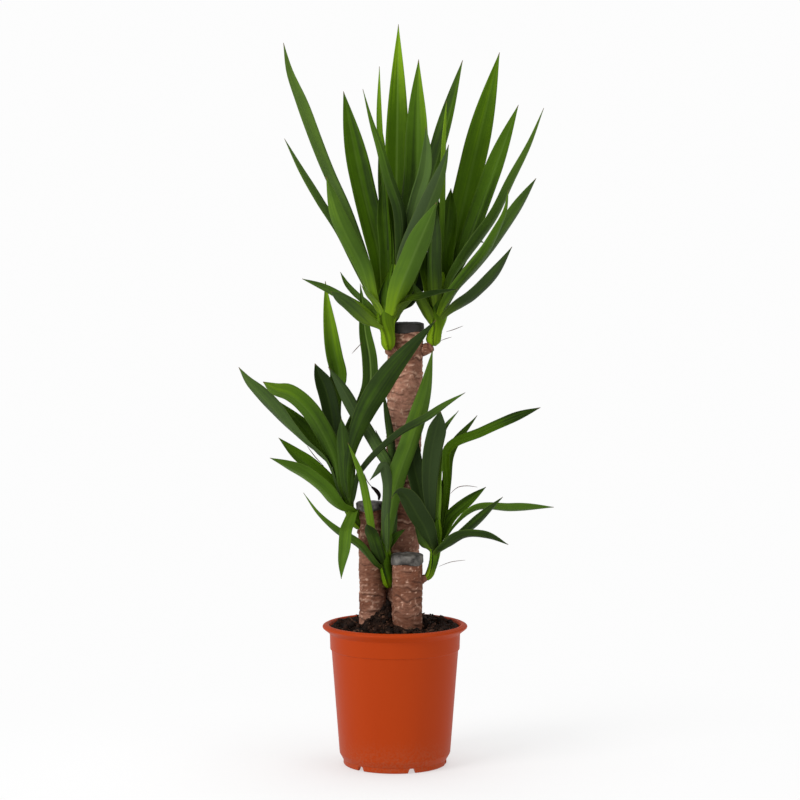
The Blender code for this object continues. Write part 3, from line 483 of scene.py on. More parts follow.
# %% Centre shoot
# A low shoot between the canes, with no room for leaves behind it.
add_shoot("centre", [
    (-7.5, 4, 207, 3.3), (-8, 3, 211, 5.6), (-9, 1, 218, 6.8), (-10.5, -1, 229, 7), (-11.5, -5, 243, 7),
    (-12, -9, 258, 6.3), (-12, -11, 274, 4), (-12, -12, 288, 2),
], [
    Leaf("light_right", 25, 20, [
        (-9, -14, 257), (2, -18, 334), (18.5, -17, 380), (36, -8, 438), (44, 0, 486),
    ]),
    Leaf("vertical", 17, 10, [
        (-9, -19, 264), (-8.5, -20, 306), (-7, -18, 335), (-9.5, -14, 354.5), (-18.8, -10, 369.5),
        (-31.5, -4, 391.5), (-42.5, 0, 407.3), (-62.3, 4, 442), (-78, 6, 465.5),
    ], 0.2, 0.35, 0.85),
    Leaf("thin_left", 10.5, 20, [
        (-25, -20, 262), (-29, -22, 286.5), (-33.5, -26, 313.5), (-38.5, -30, 337), (-43.5, -33, 352.5),
        (-54, -38, 379.5),
    ]),
    Leaf("short_dark", 16, 10, [(-19, -16, 247), (-26, -30, 270), (-33, -48, 287)], 0.3),
    Leaf("long_low", 15, 40, [
        (-23, -11, 235), (-42, -13, 258), (-69, -14, 276), (-89, -16, 295), (-106, -18, 320),
    ], 0.75, 0.7, 0.3),
    Leaf("small_right", 10, 25, [(-7, -4, 250), (-1, -12, 266), (12, -20, 278)]),
    Leaf("arched_upper", 15, 20, [(-6, 0, 300), (-8, 0, 347), (-14.3, -4, 371), (-22.5, -6, 392)]),
    Leaf("arched_lower", 14, 20, [
        (-9, -20, 290), (-9, -24, 340), (-13, -28, 352), (-20, -32, 345), (-29, -35, 336),
    ], 0.28, 0.45),
    Leaf("strip", 11, 30, [
        (-2, -8, 330), (-5, -4, 390), (-8, -3, 407), (-11, -2.5, 422.5), (-13.5, -2, 437.5),
    ], 0.25),
], None)

# %% Right shoot
# The short cane's shoot, which leans out over the rim.
add_shoot("right", [
    (36, -15, 219.5, 3.3), (39.5, -15, 223.5, 4.4), (43, -15, 232, 4.8), (46.3, -15, 246, 6),
    (47.5, -14, 260, 6.5), (49, -12, 274, 5.5), (50, -11, 288, 2.5),
], [
    Leaf("level", 16, 45, [
        (69, -16, 281), (92, -16, 300.5), (135, -15, 300.8), (185, -10, 302.5),
    ], 0.3, 0.18, 0.7),
    Leaf("rising_dark", 18, 40, [(65, 2, 288), (86, 10, 306), (107, 18, 323.5)]),
    Leaf("rising_front", 17, 45, [(61, -26, 258.5), (88.5, -34, 281.5), (124, -42, 317.5)]),
    Leaf("arching", 15, 38, [(57, -34, 258.5), (76, -48, 273), (104, -60, 274), (129, -72, 266)], 0.3),
    Leaf("long_bent", 15, 40, [
        (56, 2, 288), (62, 8, 325), (63, 12, 368), (103, 12, 388), (170, 6, 417.8),
    ], 0.16, 0.6, 0.8),
    Leaf("behind_bent", 16.5, 45, [(59, 20, 302), (63, 30, 330), (66, 37, 358), (97.5, 44, 406.5)], 0.3),
    Leaf("thin_upright", 11, 20, [(50, -8, 293), (50.5, -8, 345), (57, -9, 393), (74, -10, 415)]),
    Leaf("dark_upright", 25, 15, [
        (41, -12, 290), (39.8, -12, 335.5), (43.3, -12.5, 373), (46.6, -13, 388), (52.8, -14, 415),
    ], 0.16, 0.4, 0.8),
    Leaf("blackish", 25, 15, [
        (40, -30, 268), (35.5, -36, 280), (25.5, -50, 298), (18, -62, 312.5), (10.5, -72, 323.5),
        (2.5, -80, 327), (-4, -86, 320.5),
    ]),
    Leaf("over_cane", 23, 12, [
        (39, -13, 284), (29, -7, 322), (22, -3, 355), (22, -1, 381), (20, 0, 397),
    ], 0.4, 0.4, 0.55),
    Leaf("foot_left", 14, 10, [(36.5, -16, 257), (30.5, -14, 273), (27, -12, 298)], 0.3, 0.6),
], Fan(3, -4, 10, 120, 150))

# %% [markdown]
# ## How each leaf looks
#
# Young leaves are bright and old ones deep green, and the tones here also hold painted light and
# shade: light that shines through a young leaf is painted as a brighter tone, shade on a leaf as a
# deeper one, and a glossy flank turned to the sky is a painted sheen in a greyish green. One material
# serves them all: each leaf carries a tone from deep (0) to bright (1), a share of painted sheen, how
# pale its middle rib is, and what its tip and its right half add to the tone. A tip that adds paints
# light shining through it, and the half paints light on one side of the fold and shade on the other.

# %% Tones of the leaves
# A look's fields: tone, painted sheen, rib, tip and half; tip and half paint light and shade.
Look = namedtuple("Look", "tone grey rib tip half", defaults=(0.0, 0.05, 0.0, 0.0))
PLAIN_LOOK = Look(0.30)
LOOKS = {
    "upper_left": {
        "long_left": Look(0.58, 0.4, 0.05, 0.1), "far_left": Look(0.44, 0.35, 0.05, 0.1, -0.05),
        "broad_left": Look(0.50, 0.1, 0.1, 0.15, 0.05), "dark_left": Look(0.28, 0.0, 0.1, 0.0, -0.05),
        "crossing": Look(0.10, 0.0, 0.1, 0.45), "thin_bright": Look(0.26, 0.0, 0.1, 0.6, 0.05),
        "tallest": Look(0.42, 0.0, 0.3, 0.45, 0.03), "second_spike": Look(0.22, 0.05, 0.1, 0.45, 0.15),
        "grey_spike": Look(0.34, 0.45, 0.1, 0.1, 0.05), "dark_right": Look(0.13, 0.05, 0.1, 0.25, 0.05),
        "short_right": Look(0.24, 0.3, 0.1, 0.0, -0.18), "front": Look(0.50, 0.1, 0.2, -0.1, 0.05),
        "inner_right": Look(0.30), "low_thin": Look(0.34, 0.2), "low_front": Look(0.22, 0.2),
        "low_back": Look(0.46, 0.1), "low_small": Look(0.34, 0.35), "low_right": Look(0.0),
        "low_behind": Look(-0.05, 0.05), "low_cross": Look(0.0, 0.1), "low_short": Look(-0.12, 0.25),
        "rear_left": Look(0.24), "rear_thin": Look(0.20, 0.0, 0.1, 0.3),
    },
    "upper_right": {
        "folded": Look(0.16, 0.05, 0.1, 0.0, 0.05), "edge_on": Look(0.55, 0.0, 0.1, 0.4),
        "big": Look(0.42, 0.0, 0.1, 0.15, -0.02), "second_big": Look(0.28, 0.05, 0.1, 0.2, -0.05),
        "long_thin": Look(0.32, 0.1, 0.1, 0.3), "outer_dark": Look(0.22, 0.1, 0.1, 0.0),
        "light": Look(0.30, 0.0, 0.1, 0.3), "low_outer": Look(0.05, 0.1, 0.05, 0.0),
        "low_inner": Look(0.14), "inner_left": Look(0.2), "rear_top": Look(0.32),
        "rear_middle": Look(0.26, 0.1),
    },
    "left": {
        "widest": Look(0.22, 0.3, 0.1, 0.1), "bent": Look(0.24, 0.0, 0.1, 0.5),
        "under_bent": Look(0.20), "dark_upright": Look(-0.02, 0.05), "short_dark": Look(0.18, 0.05),
        "outer_dark": Look(0.38), "outer_bright": Look(0.48, 0.0, 0.1, 0.0, 0.1),
        "bright_upright": Look(0.26, 0.05, 0.1, 0.6, 0.1), "pale_rib": Look(0.22, 0.1, 0.6, 0.05),
        "long_front": Look(0.14, 0.0, 0.04, -0.1, -0.05), "hanging": Look(0.55, 0.15),
        "thin_crossing": Look(-0.05, 0.1, 0.1, 0.55),
    },
    "centre": {
        "light_right": Look(0.50, 0.1, 0.1, 0.1), "vertical": Look(0.24, 0.3, 0.1, -0.15),
        "thin_left": Look(0.66), "short_dark": Look(0.08), "long_low": Look(0.20, 0.0, 0.1, 0.4),
        "small_right": Look(0.1), "arched_upper": Look(0.25, 0.3, 0.1, -0.3),
        "arched_lower": Look(0.1, 0.4), "strip": Look(0.1, 0.1),
    },
    "right": {
        "level": Look(0.46, 0.05), "rising_dark": Look(0.26), "rising_front": Look(0.12),
        "arching": Look(0.06), "long_bent": Look(0.5, 0.0, 0.05, -0.45),
        "behind_bent": Look(0.34, 0.0, 0.05, -0.15),
        "thin_upright": Look(0.75, 0.25, 0.5, -0.4), "dark_upright": Look(0.0, 0.25, 0.04, 0.0, -0.05),
        "blackish": Look(-0.3, 0.05), "over_cane": Look(-0.16, 0.1), "foot_left": Look(0.10),
    },
}
print("leaves with a look of their own:", sum(len(looks) for looks in LOOKS.values()))

# %% Yellow-green feet
Glow = namedtuple("Glow", "strength reach")
GLOWS = {
    "upper_left": Glow(1.0, 58.0), "upper_right": Glow(0.9, 50.0), "left": Glow(0.2, 30.0),
    "centre": Glow(0.95, 18.0), "right": Glow(0.75, 18.0),
}
print("a shoot's foot is yellow-green over, mm:", {name: glow.reach for name, glow in GLOWS.items()})


# %% Paths of the leaves
def smooth_path(points, count):
    """Points spread evenly along cubic pieces through the given points. Each piece leaves and meets a
    point with the slope that the points on both sides of it give."""
    points = np.array(points, dtype=float)
    gaps = np.linalg.norm(np.diff(points[:, :3], axis=0), axis=1)
    stops = np.concatenate([[0.0], np.cumsum(gaps)])
    slopes = np.gradient(points, stops, axis=0)
    reach = np.linspace(0.0, stops[-1], count)
    piece = np.clip(np.searchsorted(stops, reach, side="right") - 1, 0, len(gaps) - 1)
    span = gaps[piece][:, None]
    u = ((reach - stops[piece]) / gaps[piece])[:, None]
    start, end = points[piece], points[piece + 1]
    start_slope, end_slope = slopes[piece] * span, slopes[piece + 1] * span
    return (
        (2 * u ** 3 - 3 * u ** 2 + 1) * start + (u ** 3 - 2 * u ** 2 + u) * start_slope
        + (3 * u ** 2 - 2 * u ** 3) * end + (u ** 3 - u ** 2) * end_slope
    )


def seat_on_core(core, target):
    """Where a leaf leaves its shoot: steep leaves sit high on the core, spreading ones low. The share of
    the core's length is low + rise * (1 - lean / a quarter turn)."""
    core = np.array(core, dtype=float)
    middle = core[len(core) // 2, :3]
    toward = np.array(target, dtype=float) - middle
    lean = math.atan2(math.hypot(toward[0], toward[1]), toward[2])
    share = LOW_SEAT + SEAT_RISE * max(0.0, 1.0 - lean / (math.pi / 2))
    place = share * (len(core) - 1)
    low = int(place)
    here = core[low] + (place - low) * (core[low + 1] - core[low])
    outward = np.array([toward[0], toward[1], 0.0])
    outward /= np.linalg.norm(outward) + 1e-9
    clasp = here[:3] + outward * min(here[3], CLASP_RADIUS) + np.array([0.0, 0.0, CLASP_RISE])
    return here[:3], clasp, outward


def fan_leaves(shoot_name, shoot):
    """Leaves on the far side of a shoot, spread by azimuth, lean and length from a seeded draw."""
    if shoot.fan is None:
        return []
    fan = shoot.fan
    draw = random.Random(len(shoot_name) * 7 + fan.count)
    start = np.array(shoot.core[-2][:3], dtype=float)
    leaves = []
    for k in range(fan.count):
        share = (k + 0.5) / fan.count
        azimuth = math.radians(fan.first_azimuth + (fan.last_azimuth - fan.first_azimuth) * share)
        lean = math.radians(FAN_LEANS[k] + draw.uniform(-FAN_LEAN_SPREAD, FAN_LEAN_SPREAD))
        length = draw.uniform(fan.shortest, fan.longest)
        out = np.array([math.sin(azimuth), math.cos(azimuth), 0.0])
        points = []
        for part, sag in FAN_SAGS:
            angle = lean + sag
            reach = length * part
            heading = math.sin(angle) * out + np.array([0, 0, math.cos(angle)])
            points.append(tuple(start + reach * heading))
        width = draw.uniform(*FAN_WIDTHS)
        leaves.append(Leaf(f"rear_{k}", width, draw.uniform(*FAN_TURNS), points))
    return leaves


tips = [leaf.path[-1][2] for shoot in SHOOTS.values() for leaf in shoot.leaves]
print("highest leaf tip, mm:", max(tips))


# %% Directions along a leaf
def rows_dot(a, b):
    return np.sum(a * b, axis=-1)[..., None]


def unit_rows(rows):
    return rows / np.linalg.norm(rows, axis=-1)[..., None]


def leaf_frames(path, outward, turn, twist):
    """Side and face direction at each station. The face starts square to the shoot and is carried
    along the path, losing at each step only its part along the tangent. It then rolls, over the first
    part of the leaf, until it stands at the given turn to the viewer."""
    tangent = unit_rows(np.gradient(path, axis=0))
    upward = np.array([0.0, 0.0, 1.0]) - LEAN_BACK * outward
    natural = np.empty_like(tangent)
    for k, along in enumerate(tangent):
        upward = upward - (upward @ along) * along
        upward /= np.linalg.norm(upward)
        natural[k] = upward
    viewer = np.array([0.0, -1.0, 0.0])
    facing = unit_rows(viewer - rows_dot(tangent, viewer) * tangent)
    middle = len(path) // 2
    across = np.cross(natural[middle], facing[middle])
    roll = math.atan2(float(across @ tangent[middle]), float(natural[middle] @ facing[middle]))
    if abs(roll) > math.pi / 2:
        roll -= math.copysign(math.pi, roll)
    share = np.linspace(0.0, 1.0, len(path))
    turned_by = np.radians(turn + twist * (1 - share))
    roll = math.copysign(1.0, roll) * (abs(roll) - turned_by)
    angle = (roll * smooth_step(share, 0.0, ROLL_SHARE))[:, None]
    face = natural * np.cos(angle) + np.cross(tangent, natural) * np.sin(angle)
    return np.cross(tangent, face), face


# %% The blade
STATIONS = 44
ACROSS = 11
EDGE_THICKNESS = 0.4
RIB_THICKNESS = 1.5
TIP_WIDTH = 0.5
FOLD = 16
FOOT_FOLD = 22
TIP_FOLD = 8
RIPPLE = 0.35
GLOW_STRETCH = 1.35
print("points in a blade:", 2 * STATIONS * ACROSS)


def blade_width(leaf, share):
    """Width along a leaf: a narrow clasping base that swells, then a quarter sine to the tip."""
    swell = smooth_step(share, 0.0, leaf.widest)
    taper = np.sin(math.pi / 2 * np.clip((1 - share) / leaf.taper, 0.0, 1.0))
    return leaf.width * (leaf.base + (1 - leaf.base) * swell) * taper


def make_blade(leaf, core, look, glow, number):
    """Closed blade. Across it, v runs from -1 to 1: a point lies v * half * cos(fold) to the side and
    half * sin(fold) * lift(v) towards the face, where lift is a V with a rounded bottom. The underside
    lies a thickness below, which falls from the rib to the edge as 1 - v^2. The yellow-green of the
    foot fades along the leaf over the reach that it has on the neck, and is weaker on a dark leaf."""
    seat, clasp, outward = seat_on_core(core, leaf.path[0])
    path = smooth_path([seat, clasp] + list(leaf.path), STATIONS)
    side, face = leaf_frames(path, outward, leaf.turn, leaf.twist)
    share = np.linspace(0.0, 1.0, STATIONS)
    half = np.maximum(blade_width(leaf, share), TIP_WIDTH) / 2
    fold = np.radians(FOLD + FOOT_FOLD * np.clip(1 - share / 0.3, 0.0, 1.0) + TIP_FOLD * share)
    v = np.linspace(-1.0, 1.0, ACROSS)
    lift = 0.45 * v ** 2 + 0.55 * (np.sqrt(v ** 2 + 0.01) - 0.1) / (math.sqrt(1.01) - 0.1)
    draw = np.random.default_rng(number)
    ripple = RIPPLE * np.sin(share * draw.uniform(9, 14) + draw.uniform(0, 6)) * np.sin(math.pi * share)
    wave = ripple[:, None] * v[None, :] ** 3
    out = side[:, None, :] * (half * np.cos(fold))[:, None, None] * v[None, :, None]
    up = (half * np.sin(fold))[:, None] * lift[None, :] + wave
    top = path[:, None, :] + out + face[:, None, :] * up[:, :, None]
    rib = EDGE_THICKNESS + (RIB_THICKNESS - EDGE_THICKNESS) * (1 - share)[:, None] * (1 - v ** 2)[None, :]
    below = top - face[:, None, :] * rib[:, :, None]
    grid = np.concatenate([top, below[:, ::-1]], axis=1)
    across = np.concatenate([v, v[::-1]])[None, :]
    under = np.concatenate([np.zeros(ACROSS), np.ones(ACROSS)])[None, :]
    paleness = float(np.clip(0.45 + 1.2 * look.tone, 0.15, 1.0))
    young = paleness * glow.strength * (1 - smooth_step(walked(path), 0.0, GLOW_STRETCH * glow.reach))
    # Painted light and shade: the tip share shifts the tip's tone, and the half share lights one half and
    # shades the other.
    tone = look.tone + look.tip * smooth_step(share, 0.45, 1.0)[:, None] + look.half * np.sign(across)
    return closed_skin(
        grid, across=across, along=(share + 2.0 * number)[:, None], share=share[:, None],
        tone=tone, grey=look.grey, rib=look.rib, under=under, young=young[:, None],
    )


# %% [markdown]
# ## The foot of a shoot
#
# Where a shoot leaves its cane it is a short green neck, wrapped in the pale sheaths of its lowest
# leaves. Each sheath laps over the next like a roof tile, so the neck is a tube whose radius climbs
# slowly round it and drops at each lap. The laps run up the neck as a steep screw with four starts,
# and each of the four sheaths has a tone of its own, with a painted shadow where it tucks under
# the next.

# %% The neck
NECK_ROWS = 70
NECK_COLUMNS = 72
SHEATH_PITCH = 70.0
SHEATH_STEP = 0.2
SHEATH_TONES = (0.75, 0.4, 0.9, 0.55)
TUCK_SHADE = 0.8
TUCK_WIDTH = 0.22
print("points in a neck:", NECK_ROWS * NECK_COLUMNS)


def ring_directions(axis):
    """Two directions square to the axis at each of its points, for the rings of a tube."""
    along = unit_rows(np.gradient(axis, axis=0))
    side = unit_rows(np.cross(along, np.array([0.0, 1.0, 0.0])))
    return side, np.cross(along, side)


def make_neck(core, glow, number):
    """Tube along the core. Its radius is the core's, times 1 + step * (lap - 1/2), where lap is the
    fractional part of sheaths * angle / turn + height / pitch, and its whole part picks the sheath."""
    line = smooth_path(core, NECK_ROWS)
    side, other = ring_directions(line[:, :3])
    angle = turn_angles(NECK_COLUMNS)[None, :]
    height = (line[:, 2] - line[0, 2])[:, None]
    sheaths = len(SHEATH_TONES)
    climb = sheaths * angle / math.tau + height / SHEATH_PITCH
    lap = np.mod(climb, 1.0)
    tone = np.array(SHEATH_TONES)[np.floor(climb).astype(int) % sheaths]
    # Painted shadow: the tone drops where a sheath tucks under the next.
    tucked = 1 - smooth_step(lap, 0.0, TUCK_WIDTH)
    tone = tone - TUCK_SHADE * tucked + 0.15 * smooth_step(lap, 0.8, 1.0)
    radius = line[:, 3:4] * (1 + SHEATH_STEP * (lap - 0.5))
    grid = ring_grid(line[:, :3], side, other, angle, radius)
    share = np.linspace(0.0, 1.0, NECK_ROWS)[:, None]
    fading = 1 - smooth_step(height, 0.0, glow.reach)
    young = glow.strength * fading * (0.45 + 0.55 * smooth_step(tone, 0.1, 0.7))
    return closed_skin(
        grid, across=2 * lap - 1, along=share + 2.0 * number, share=0.1 * share, tone=tone - 0.1,
        grey=0.0, rib=0.0, under=0.0, young=young,
    )


# %% [markdown]
# ## The green of the leaves
#
# A leaf's colour comes in layers: a green between deep and bright, which is partly the leaf's own and
# partly painted light and shade, veins that run the whole length, a paler rib, a painted sheen in a
# greyish green, yellow-green at the sheath, which never saw the sun, and a dry brown point. The skin
# carries where it is along and across the blade, so the veins follow every bend. Gloss is satin, with
# fine veins raised by a bump.

# %% Leaf material
def make_leaf_material():
    material, tree, shader = new_material("leaf_blade")
    across, along = layer_value(tree, "across"), layer_value(tree, "along")
    share, young = layer_value(tree, "share"), layer_value(tree, "young")
    place = tree.nodes.new("ShaderNodeCombineXYZ")
    feed(tree, place.inputs["X"], across)
    feed(tree, place.inputs["Y"], along)
    veins = cloud(tree, stretched(tree, place.outputs[0], (26.0, 0.9, 1.0)), 1.0, 3.0, 0.6)
    bands = cloud(tree, stretched(tree, place.outputs[0], (2.6, 1.6, 1.0)), 1.0, 2.0, 0.5)
    patches = uneven(tree, object_place(tree), 22.0, 1.6)

    shade = layer_value(tree, "tone")
    for noise, strength in ((bands, 0.55), (veins, 0.28), (patches, 0.28)):
        shade = sums(tree, "MULTIPLY_ADD", sums(tree, "SUBTRACT", noise, 0.5), strength, shade)
    deep_to_green = mixed(tree, spread(tree, shade, 0.0, 0.5), (0.009, 0.022, 0.001), (0.052, 0.116, 0.002))
    green = mixed(tree, spread(tree, shade, 0.45, 1.05), deep_to_green, (0.165, 0.300, 0.006))

    # Painted sheen: a greyish green mixed in by the leaf's sheen share, plus a tenth on the underside.
    sheen_and_underside = sums(tree, "MULTIPLY_ADD", layer_value(tree, "under"), 0.1, layer_value(tree, "grey"))
    green = mixed(tree, sheen_and_underside, green, (0.085, 0.130, 0.052))

    middle = spread(tree, sums(tree, "ABSOLUTE", across), 0.03, 0.16, 1.0, 0.0)
    green = tinted(tree, green, middle, layer_value(tree, "rib"), (0.180, 0.280, 0.060))
    margin = spread(tree, sums(tree, "ABSOLUTE", across), 0.93, 1.0, 0.0, 0.25)
    green = mixed(tree, margin, green, (0.150, 0.210, 0.040))

    green = tinted(tree, green, young, spread(tree, bands, 0.3, 0.7, 0.5, 1.0), (0.215, 0.350, 0.006))
    point = spread(tree, share, 0.975, 1.0)
    green = mixed(tree, point, green, (0.120, 0.075, 0.035))

    fine = cloud(tree, stretched(tree, place.outputs[0], (34.0, 0.5, 1.0)), 1.0, 2.0, 0.5)
    roughness = spread(tree, bands, 0.2, 0.8, 0.46, 0.6)
    finish_surface(tree, shader, green, roughness, 0.06, fine, 0.00025, 0.6)
    return material


LEAF = make_leaf_material()
print("material:", LEAF.name)


# %% Grow the shoots
def grow_shoot(name, shoot, first_number):
    """All the leaves of one shoot and its neck, as one piece in place of the shoot's solid."""
    glow = GLOWS[name]
    skins = [make_neck(shoot.core, glow, first_number)]
    leaves = list(shoot.leaves) + fan_leaves(name, shoot)
    for k, leaf in enumerate(leaves):
        look = LOOKS[name].get(leaf.name, PLAIN_LOOK)
        skins.append(make_blade(leaf, shoot.core, look, glow, first_number + k + 1))
    add_piece(f"leaves_{name}", joined(skins), LEAF, [f"shoot_{name}"])
    return first_number + len(leaves) + 1


leaf_number = 0
for shoot_name, shoot in SHOOTS.items():
    leaf_number = grow_shoot(shoot_name, shoot, leaf_number)
print("leaves grown:", leaf_number - len(SHOOTS))

# %% [markdown]
# ## Canes
#
# The canes are lengths of trunk. Old leaf scars run round them as wavy rings, the outer bark has
# cracked and curled into flat plates, and the lips of the plates are pale, as are worn ledges above the
# creases, which are partly a painted highlight; the creases carry painted shade. A displacement modifier
# on a cylinder could do this from a texture, but then the colours would not know where the cracks are.
# Here one set of arrays gives both the relief and the masks for the colours.

# %% The canes
Cane = namedtuple("Cane", "axis radius stubs warmth swell wear pale_height")
Stub = namedtuple("Stub", "start end start_radius end_radius")
# Warmth: 0 pale pink, 1 deep brown. The left cane's is partly painted shade; the tall cane's pale band is
# partly painted light.
CANES = {
    "tall": Cane(
        [(7.8, 26, 70), (7.8, 26, 250), (13, 26, 513)], 20.0,
        [Stub((20, 24, 480), (44, 20, 489), 9, 6.5), Stub((5, 18, 478), (-7.5, 6, 485), 9, 6.5)],
        0.72, 1.3, 1.0, 422),
    "left": Cane(
        [(-26.5, 14, 70), (-26.5, 14, 230), (-28.5, 13, 303)], 16.0,
        [Stub((-32, 12, 268), (-42, 10, 275), 8, 6)], 0.95, 0.3, 0.6, 150),
    "short": Cane(
        [(14.3, -15, 70), (14.3, -15, 245)], 17.8,
        [Stub((20, -15, 215), (37, -15, 221), 9, 4.5)], 1.0, 0.3, 0.3, 0),
}
print("canes end at, mm:", {name: cane.axis[-1][2] for name, cane in CANES.items()})

# %% Bark relief
ROW_HEIGHT = 1.1
COLUMN_WIDTH = 1.25
RING_PITCH = 9.5
RING_DEPTH = 0.9
PLATE_STEP = 0.5
PALE_REACH = 30.0
LEDGE = (0.10, 0.20, 0.26, 0.50)
BARK_SINK = 0.6
STUB_ROWS = 22
STUB_WARMTH = 0.9
STUB_WEAR_AND_HIGHLIGHT = 0.3


def bark_relief(around, height, turn_length, wear, seed):
    """Relief in mm and two masks. Rings are |sin| of a height that wanders a little round the cane,
    sharpened to narrow creases. Plates are wide and low: where a noise with flat cells passes a half.
    Lips are the edges of the plates, broken up by a finer noise, and here and there a ledge just
    above a crease, between two steps of the ring's phase, which is pale rubbed bark and partly a
    painted highlight: the larger the given amount, the more of them."""
    length = float(height.max() - height.min()) + 1.0
    along = (height - height.min()) / length
    cells = max(3, round(turn_length / 14.0))

    def noise(across, rise, least, number):
        return relief(around, along, across, max(least, round(length / rise)), seed + number)

    wander = noise(cells, 30, 2, 0) + 0.5 * noise(2 * cells, 14, 2, 1)
    ring = height / RING_PITCH + 0.8 * wander
    wave = np.abs(np.sin(math.pi * ring))
    crease = 1 - smooth_step(wave, 0.0, 0.42)
    crease = crease * smooth_step(noise(cells, 9, 1, 2), 0.3, 0.75)
    lumps = noise(max(4, cells), 16, 2, 3) - 0.5
    plates = 0.65 * noise(2 * cells, 3.5, 3, 4) + 0.35 * noise(5 * cells, 2.5, 3, 5)
    raised = smooth_step(plates, 0.44, 0.56)
    grain = noise(6 * cells, 2.2, 4, 6) - 0.5
    broken = smooth_step(noise(4 * cells, 4, 4, 8), 0.55, 0.85)
    lip = np.exp(-((plates - 0.53) / 0.04) ** 2) * broken
    phase = np.mod(ring, 1.0)
    # Ledges: pale worn bark, partly a painted highlight on the ridges above the creases.
    worn_and_lit = wear * smooth_step(noise(cells, 12, 3, 9), 0.42, 0.66)
    ledge = smooth_step(phase, *LEDGE[:2]) * (1 - smooth_step(phase, *LEDGE[2:])) * worn_and_lit
    out = 0.9 * lumps - RING_DEPTH * crease + PLATE_STEP * (raised - 0.6) + 0.45 * grain + 0.5 * ledge
    return out, crease, np.clip(np.maximum(lip, ledge * (0.55 + 0.9 * grain)), 0.0, 1.0)


# %% Tubes of bark
def straight_path(points, count):
    """Points spread evenly along straight pieces."""
    points = np.array(points, dtype=float)
    stops = walked(points)
    reach = np.linspace(0.0, stops[-1], count)
    return np.stack([np.interp(reach, stops, points[:, k]) for k in range(3)], axis=1)


def bark_tube(axis, radii, seed, warmth, wear, pale_height, level):
    """Tube with bark relief. Its rings are level on a cane, and square to the axis on a stub. The hue is
    the warmth, plus noise, less a bell curve about the height where the bark is palest."""
    columns = max(24, round(math.tau * max(radii) / COLUMN_WIDTH))
    around = np.linspace(0.0, 1.0, columns, endpoint=False)[None, :]
    around, height = np.broadcast_arrays(around, walked(axis)[:, None])
    out, crease, lip = bark_relief(around, height, math.tau * max(radii), wear, seed)
    side, other = ring_directions(axis)
    if level:
        side = np.broadcast_to([-1.0, 0.0, 0.0], axis.shape)
        other = np.broadcast_to([0.0, -1.0, 0.0], axis.shape)
    radius = np.array(radii)[:, None] - BARK_SINK + out
    grid = ring_grid(axis, side, other, math.tau * around, radius)
    hue = warmth + 0.6 * (relief(around, height / (height.max() + 1), 5, 14, seed + 7) - 0.5)
    # Pale band: paler bark, on the tall cane also painted light against the shade of the leaves above.
    hue = hue - 0.75 * np.exp(-((axis[:, 2:3] - pale_height) / PALE_REACH) ** 2)
    return closed_skin(grid, crease=crease, lip=lip, hue=np.clip(hue, 0, 1))


def make_cane(name, cane):
    seed = 100 * (1 + list(CANES).index(name))
    length = sum(math.dist(a, b) for a, b in zip(cane.axis, cane.axis[1:]))
    rows = round(length / ROW_HEIGHT)
    share = np.linspace(0.0, 1.0, rows)
    radii = cane.radius + cane.swell * smooth_step(share, 0.2, 0.45) * (1 - smooth_step(share, 0.96, 0.985))
    axis = straight_path(cane.axis, rows)
    skins = [bark_tube(axis, radii, seed, cane.warmth, cane.wear, cane.pale_height, True)]
    for k, stub in enumerate(cane.stubs):
        axis = np.linspace(stub.start, stub.end, STUB_ROWS)
        radii = np.linspace(stub.start_radius, stub.end_radius, STUB_ROWS)
        skins.append(bark_tube(axis, radii, seed + 20 * (k + 1), STUB_WARMTH, STUB_WEAR_AND_HIGHLIGHT, 0, False))
    return joined(skins)


# %% Bark material
def make_bark_material():
    """Pale pink to deep brown by the hue, with painted shade in the creases, and paler on the lips of
    the plates and on the ledges, which are partly a painted highlight.
    Fibres are noise squeezed along the height, so they run round the cane."""
    material, tree, shader = new_material("cane_bark")
    place = object_place(tree)
    fibres = cloud(tree, stretched(tree, place, (130.0, 130.0, 900.0)), 1.0, 3.0, 0.6)
    blotches = uneven(tree, place, 85.0, 2.4)
    flakes = uneven(tree, stretched(tree, place, (1, 1, 1.6)), 230.0, 3.4)
    faded = uneven(tree, stretched(tree, place, (1, 1, 0.6)), 46.0, 3.6)
    colour = mixed(tree, layer_value(tree, "hue"), (0.680, 0.335, 0.225), (0.180, 0.056, 0.024))
    colour = tinted(tree, colour, faded, 0.3, (0.360, 0.190, 0.130))
    colour = tinted(tree, colour, blotches, 0.5, (0.085, 0.034, 0.022))
    colour = tinted(tree, colour, flakes, 0.5, (0.075, 0.028, 0.017))
    colour = mixed(tree, spread(tree, fibres, 0.45, 0.78, 0.0, 0.4), colour, (0.400, 0.200, 0.125))
    # Pale lips and ledges; the ledges are partly a painted highlight.
    colour = tinted(tree, colour, layer_value(tree, "lip"), 0.85, (0.760, 0.480, 0.350))
    # Painted shade in the creases.
    colour = tinted(tree, colour, layer_value(tree, "crease"), 0.8, (0.035, 0.015, 0.010))
    grain = fine_relief(tree, stretched(tree, place, (1, 1, 3.0)), 380.0)
    roughness = spread(tree, blotches, 0.0, 1.0, 0.62, 0.9)
    finish_surface(tree, shader, colour, roughness, 0.15, grain, 0.0006, 0.8)
    return material


BARK = make_bark_material()
for name, cane in CANES.items():
    add_piece(f"bark_{name}", make_cane(name, cane), BARK, [f"cane_{name}"])

# %% [markdown]
# ## Sealed tops
#
# The grower dips each sawn top in wax, so that it doesn't dry out. The wax is a thin cap with a skirt
# that runs down further in some places than in others, dark and dull, with greyer patches, partly where
# it has bloomed and partly a painted highlight. It is a turned profile whose lower edge and surface wander.

# %% Wax caps
WAX_SKIRT = 7.0
WAX_TOP = 4.5
WAX_WALL = 0.8
CLEARANCE = 0.3
WAX_COLUMNS = 96
DRIP = 5.0
# How grey each cap's patches are: partly bloom and partly a painted highlight.
BLOOM_AND_SHEEN = {"tall": 0.3, "left": 0.8, "short": 0.9}


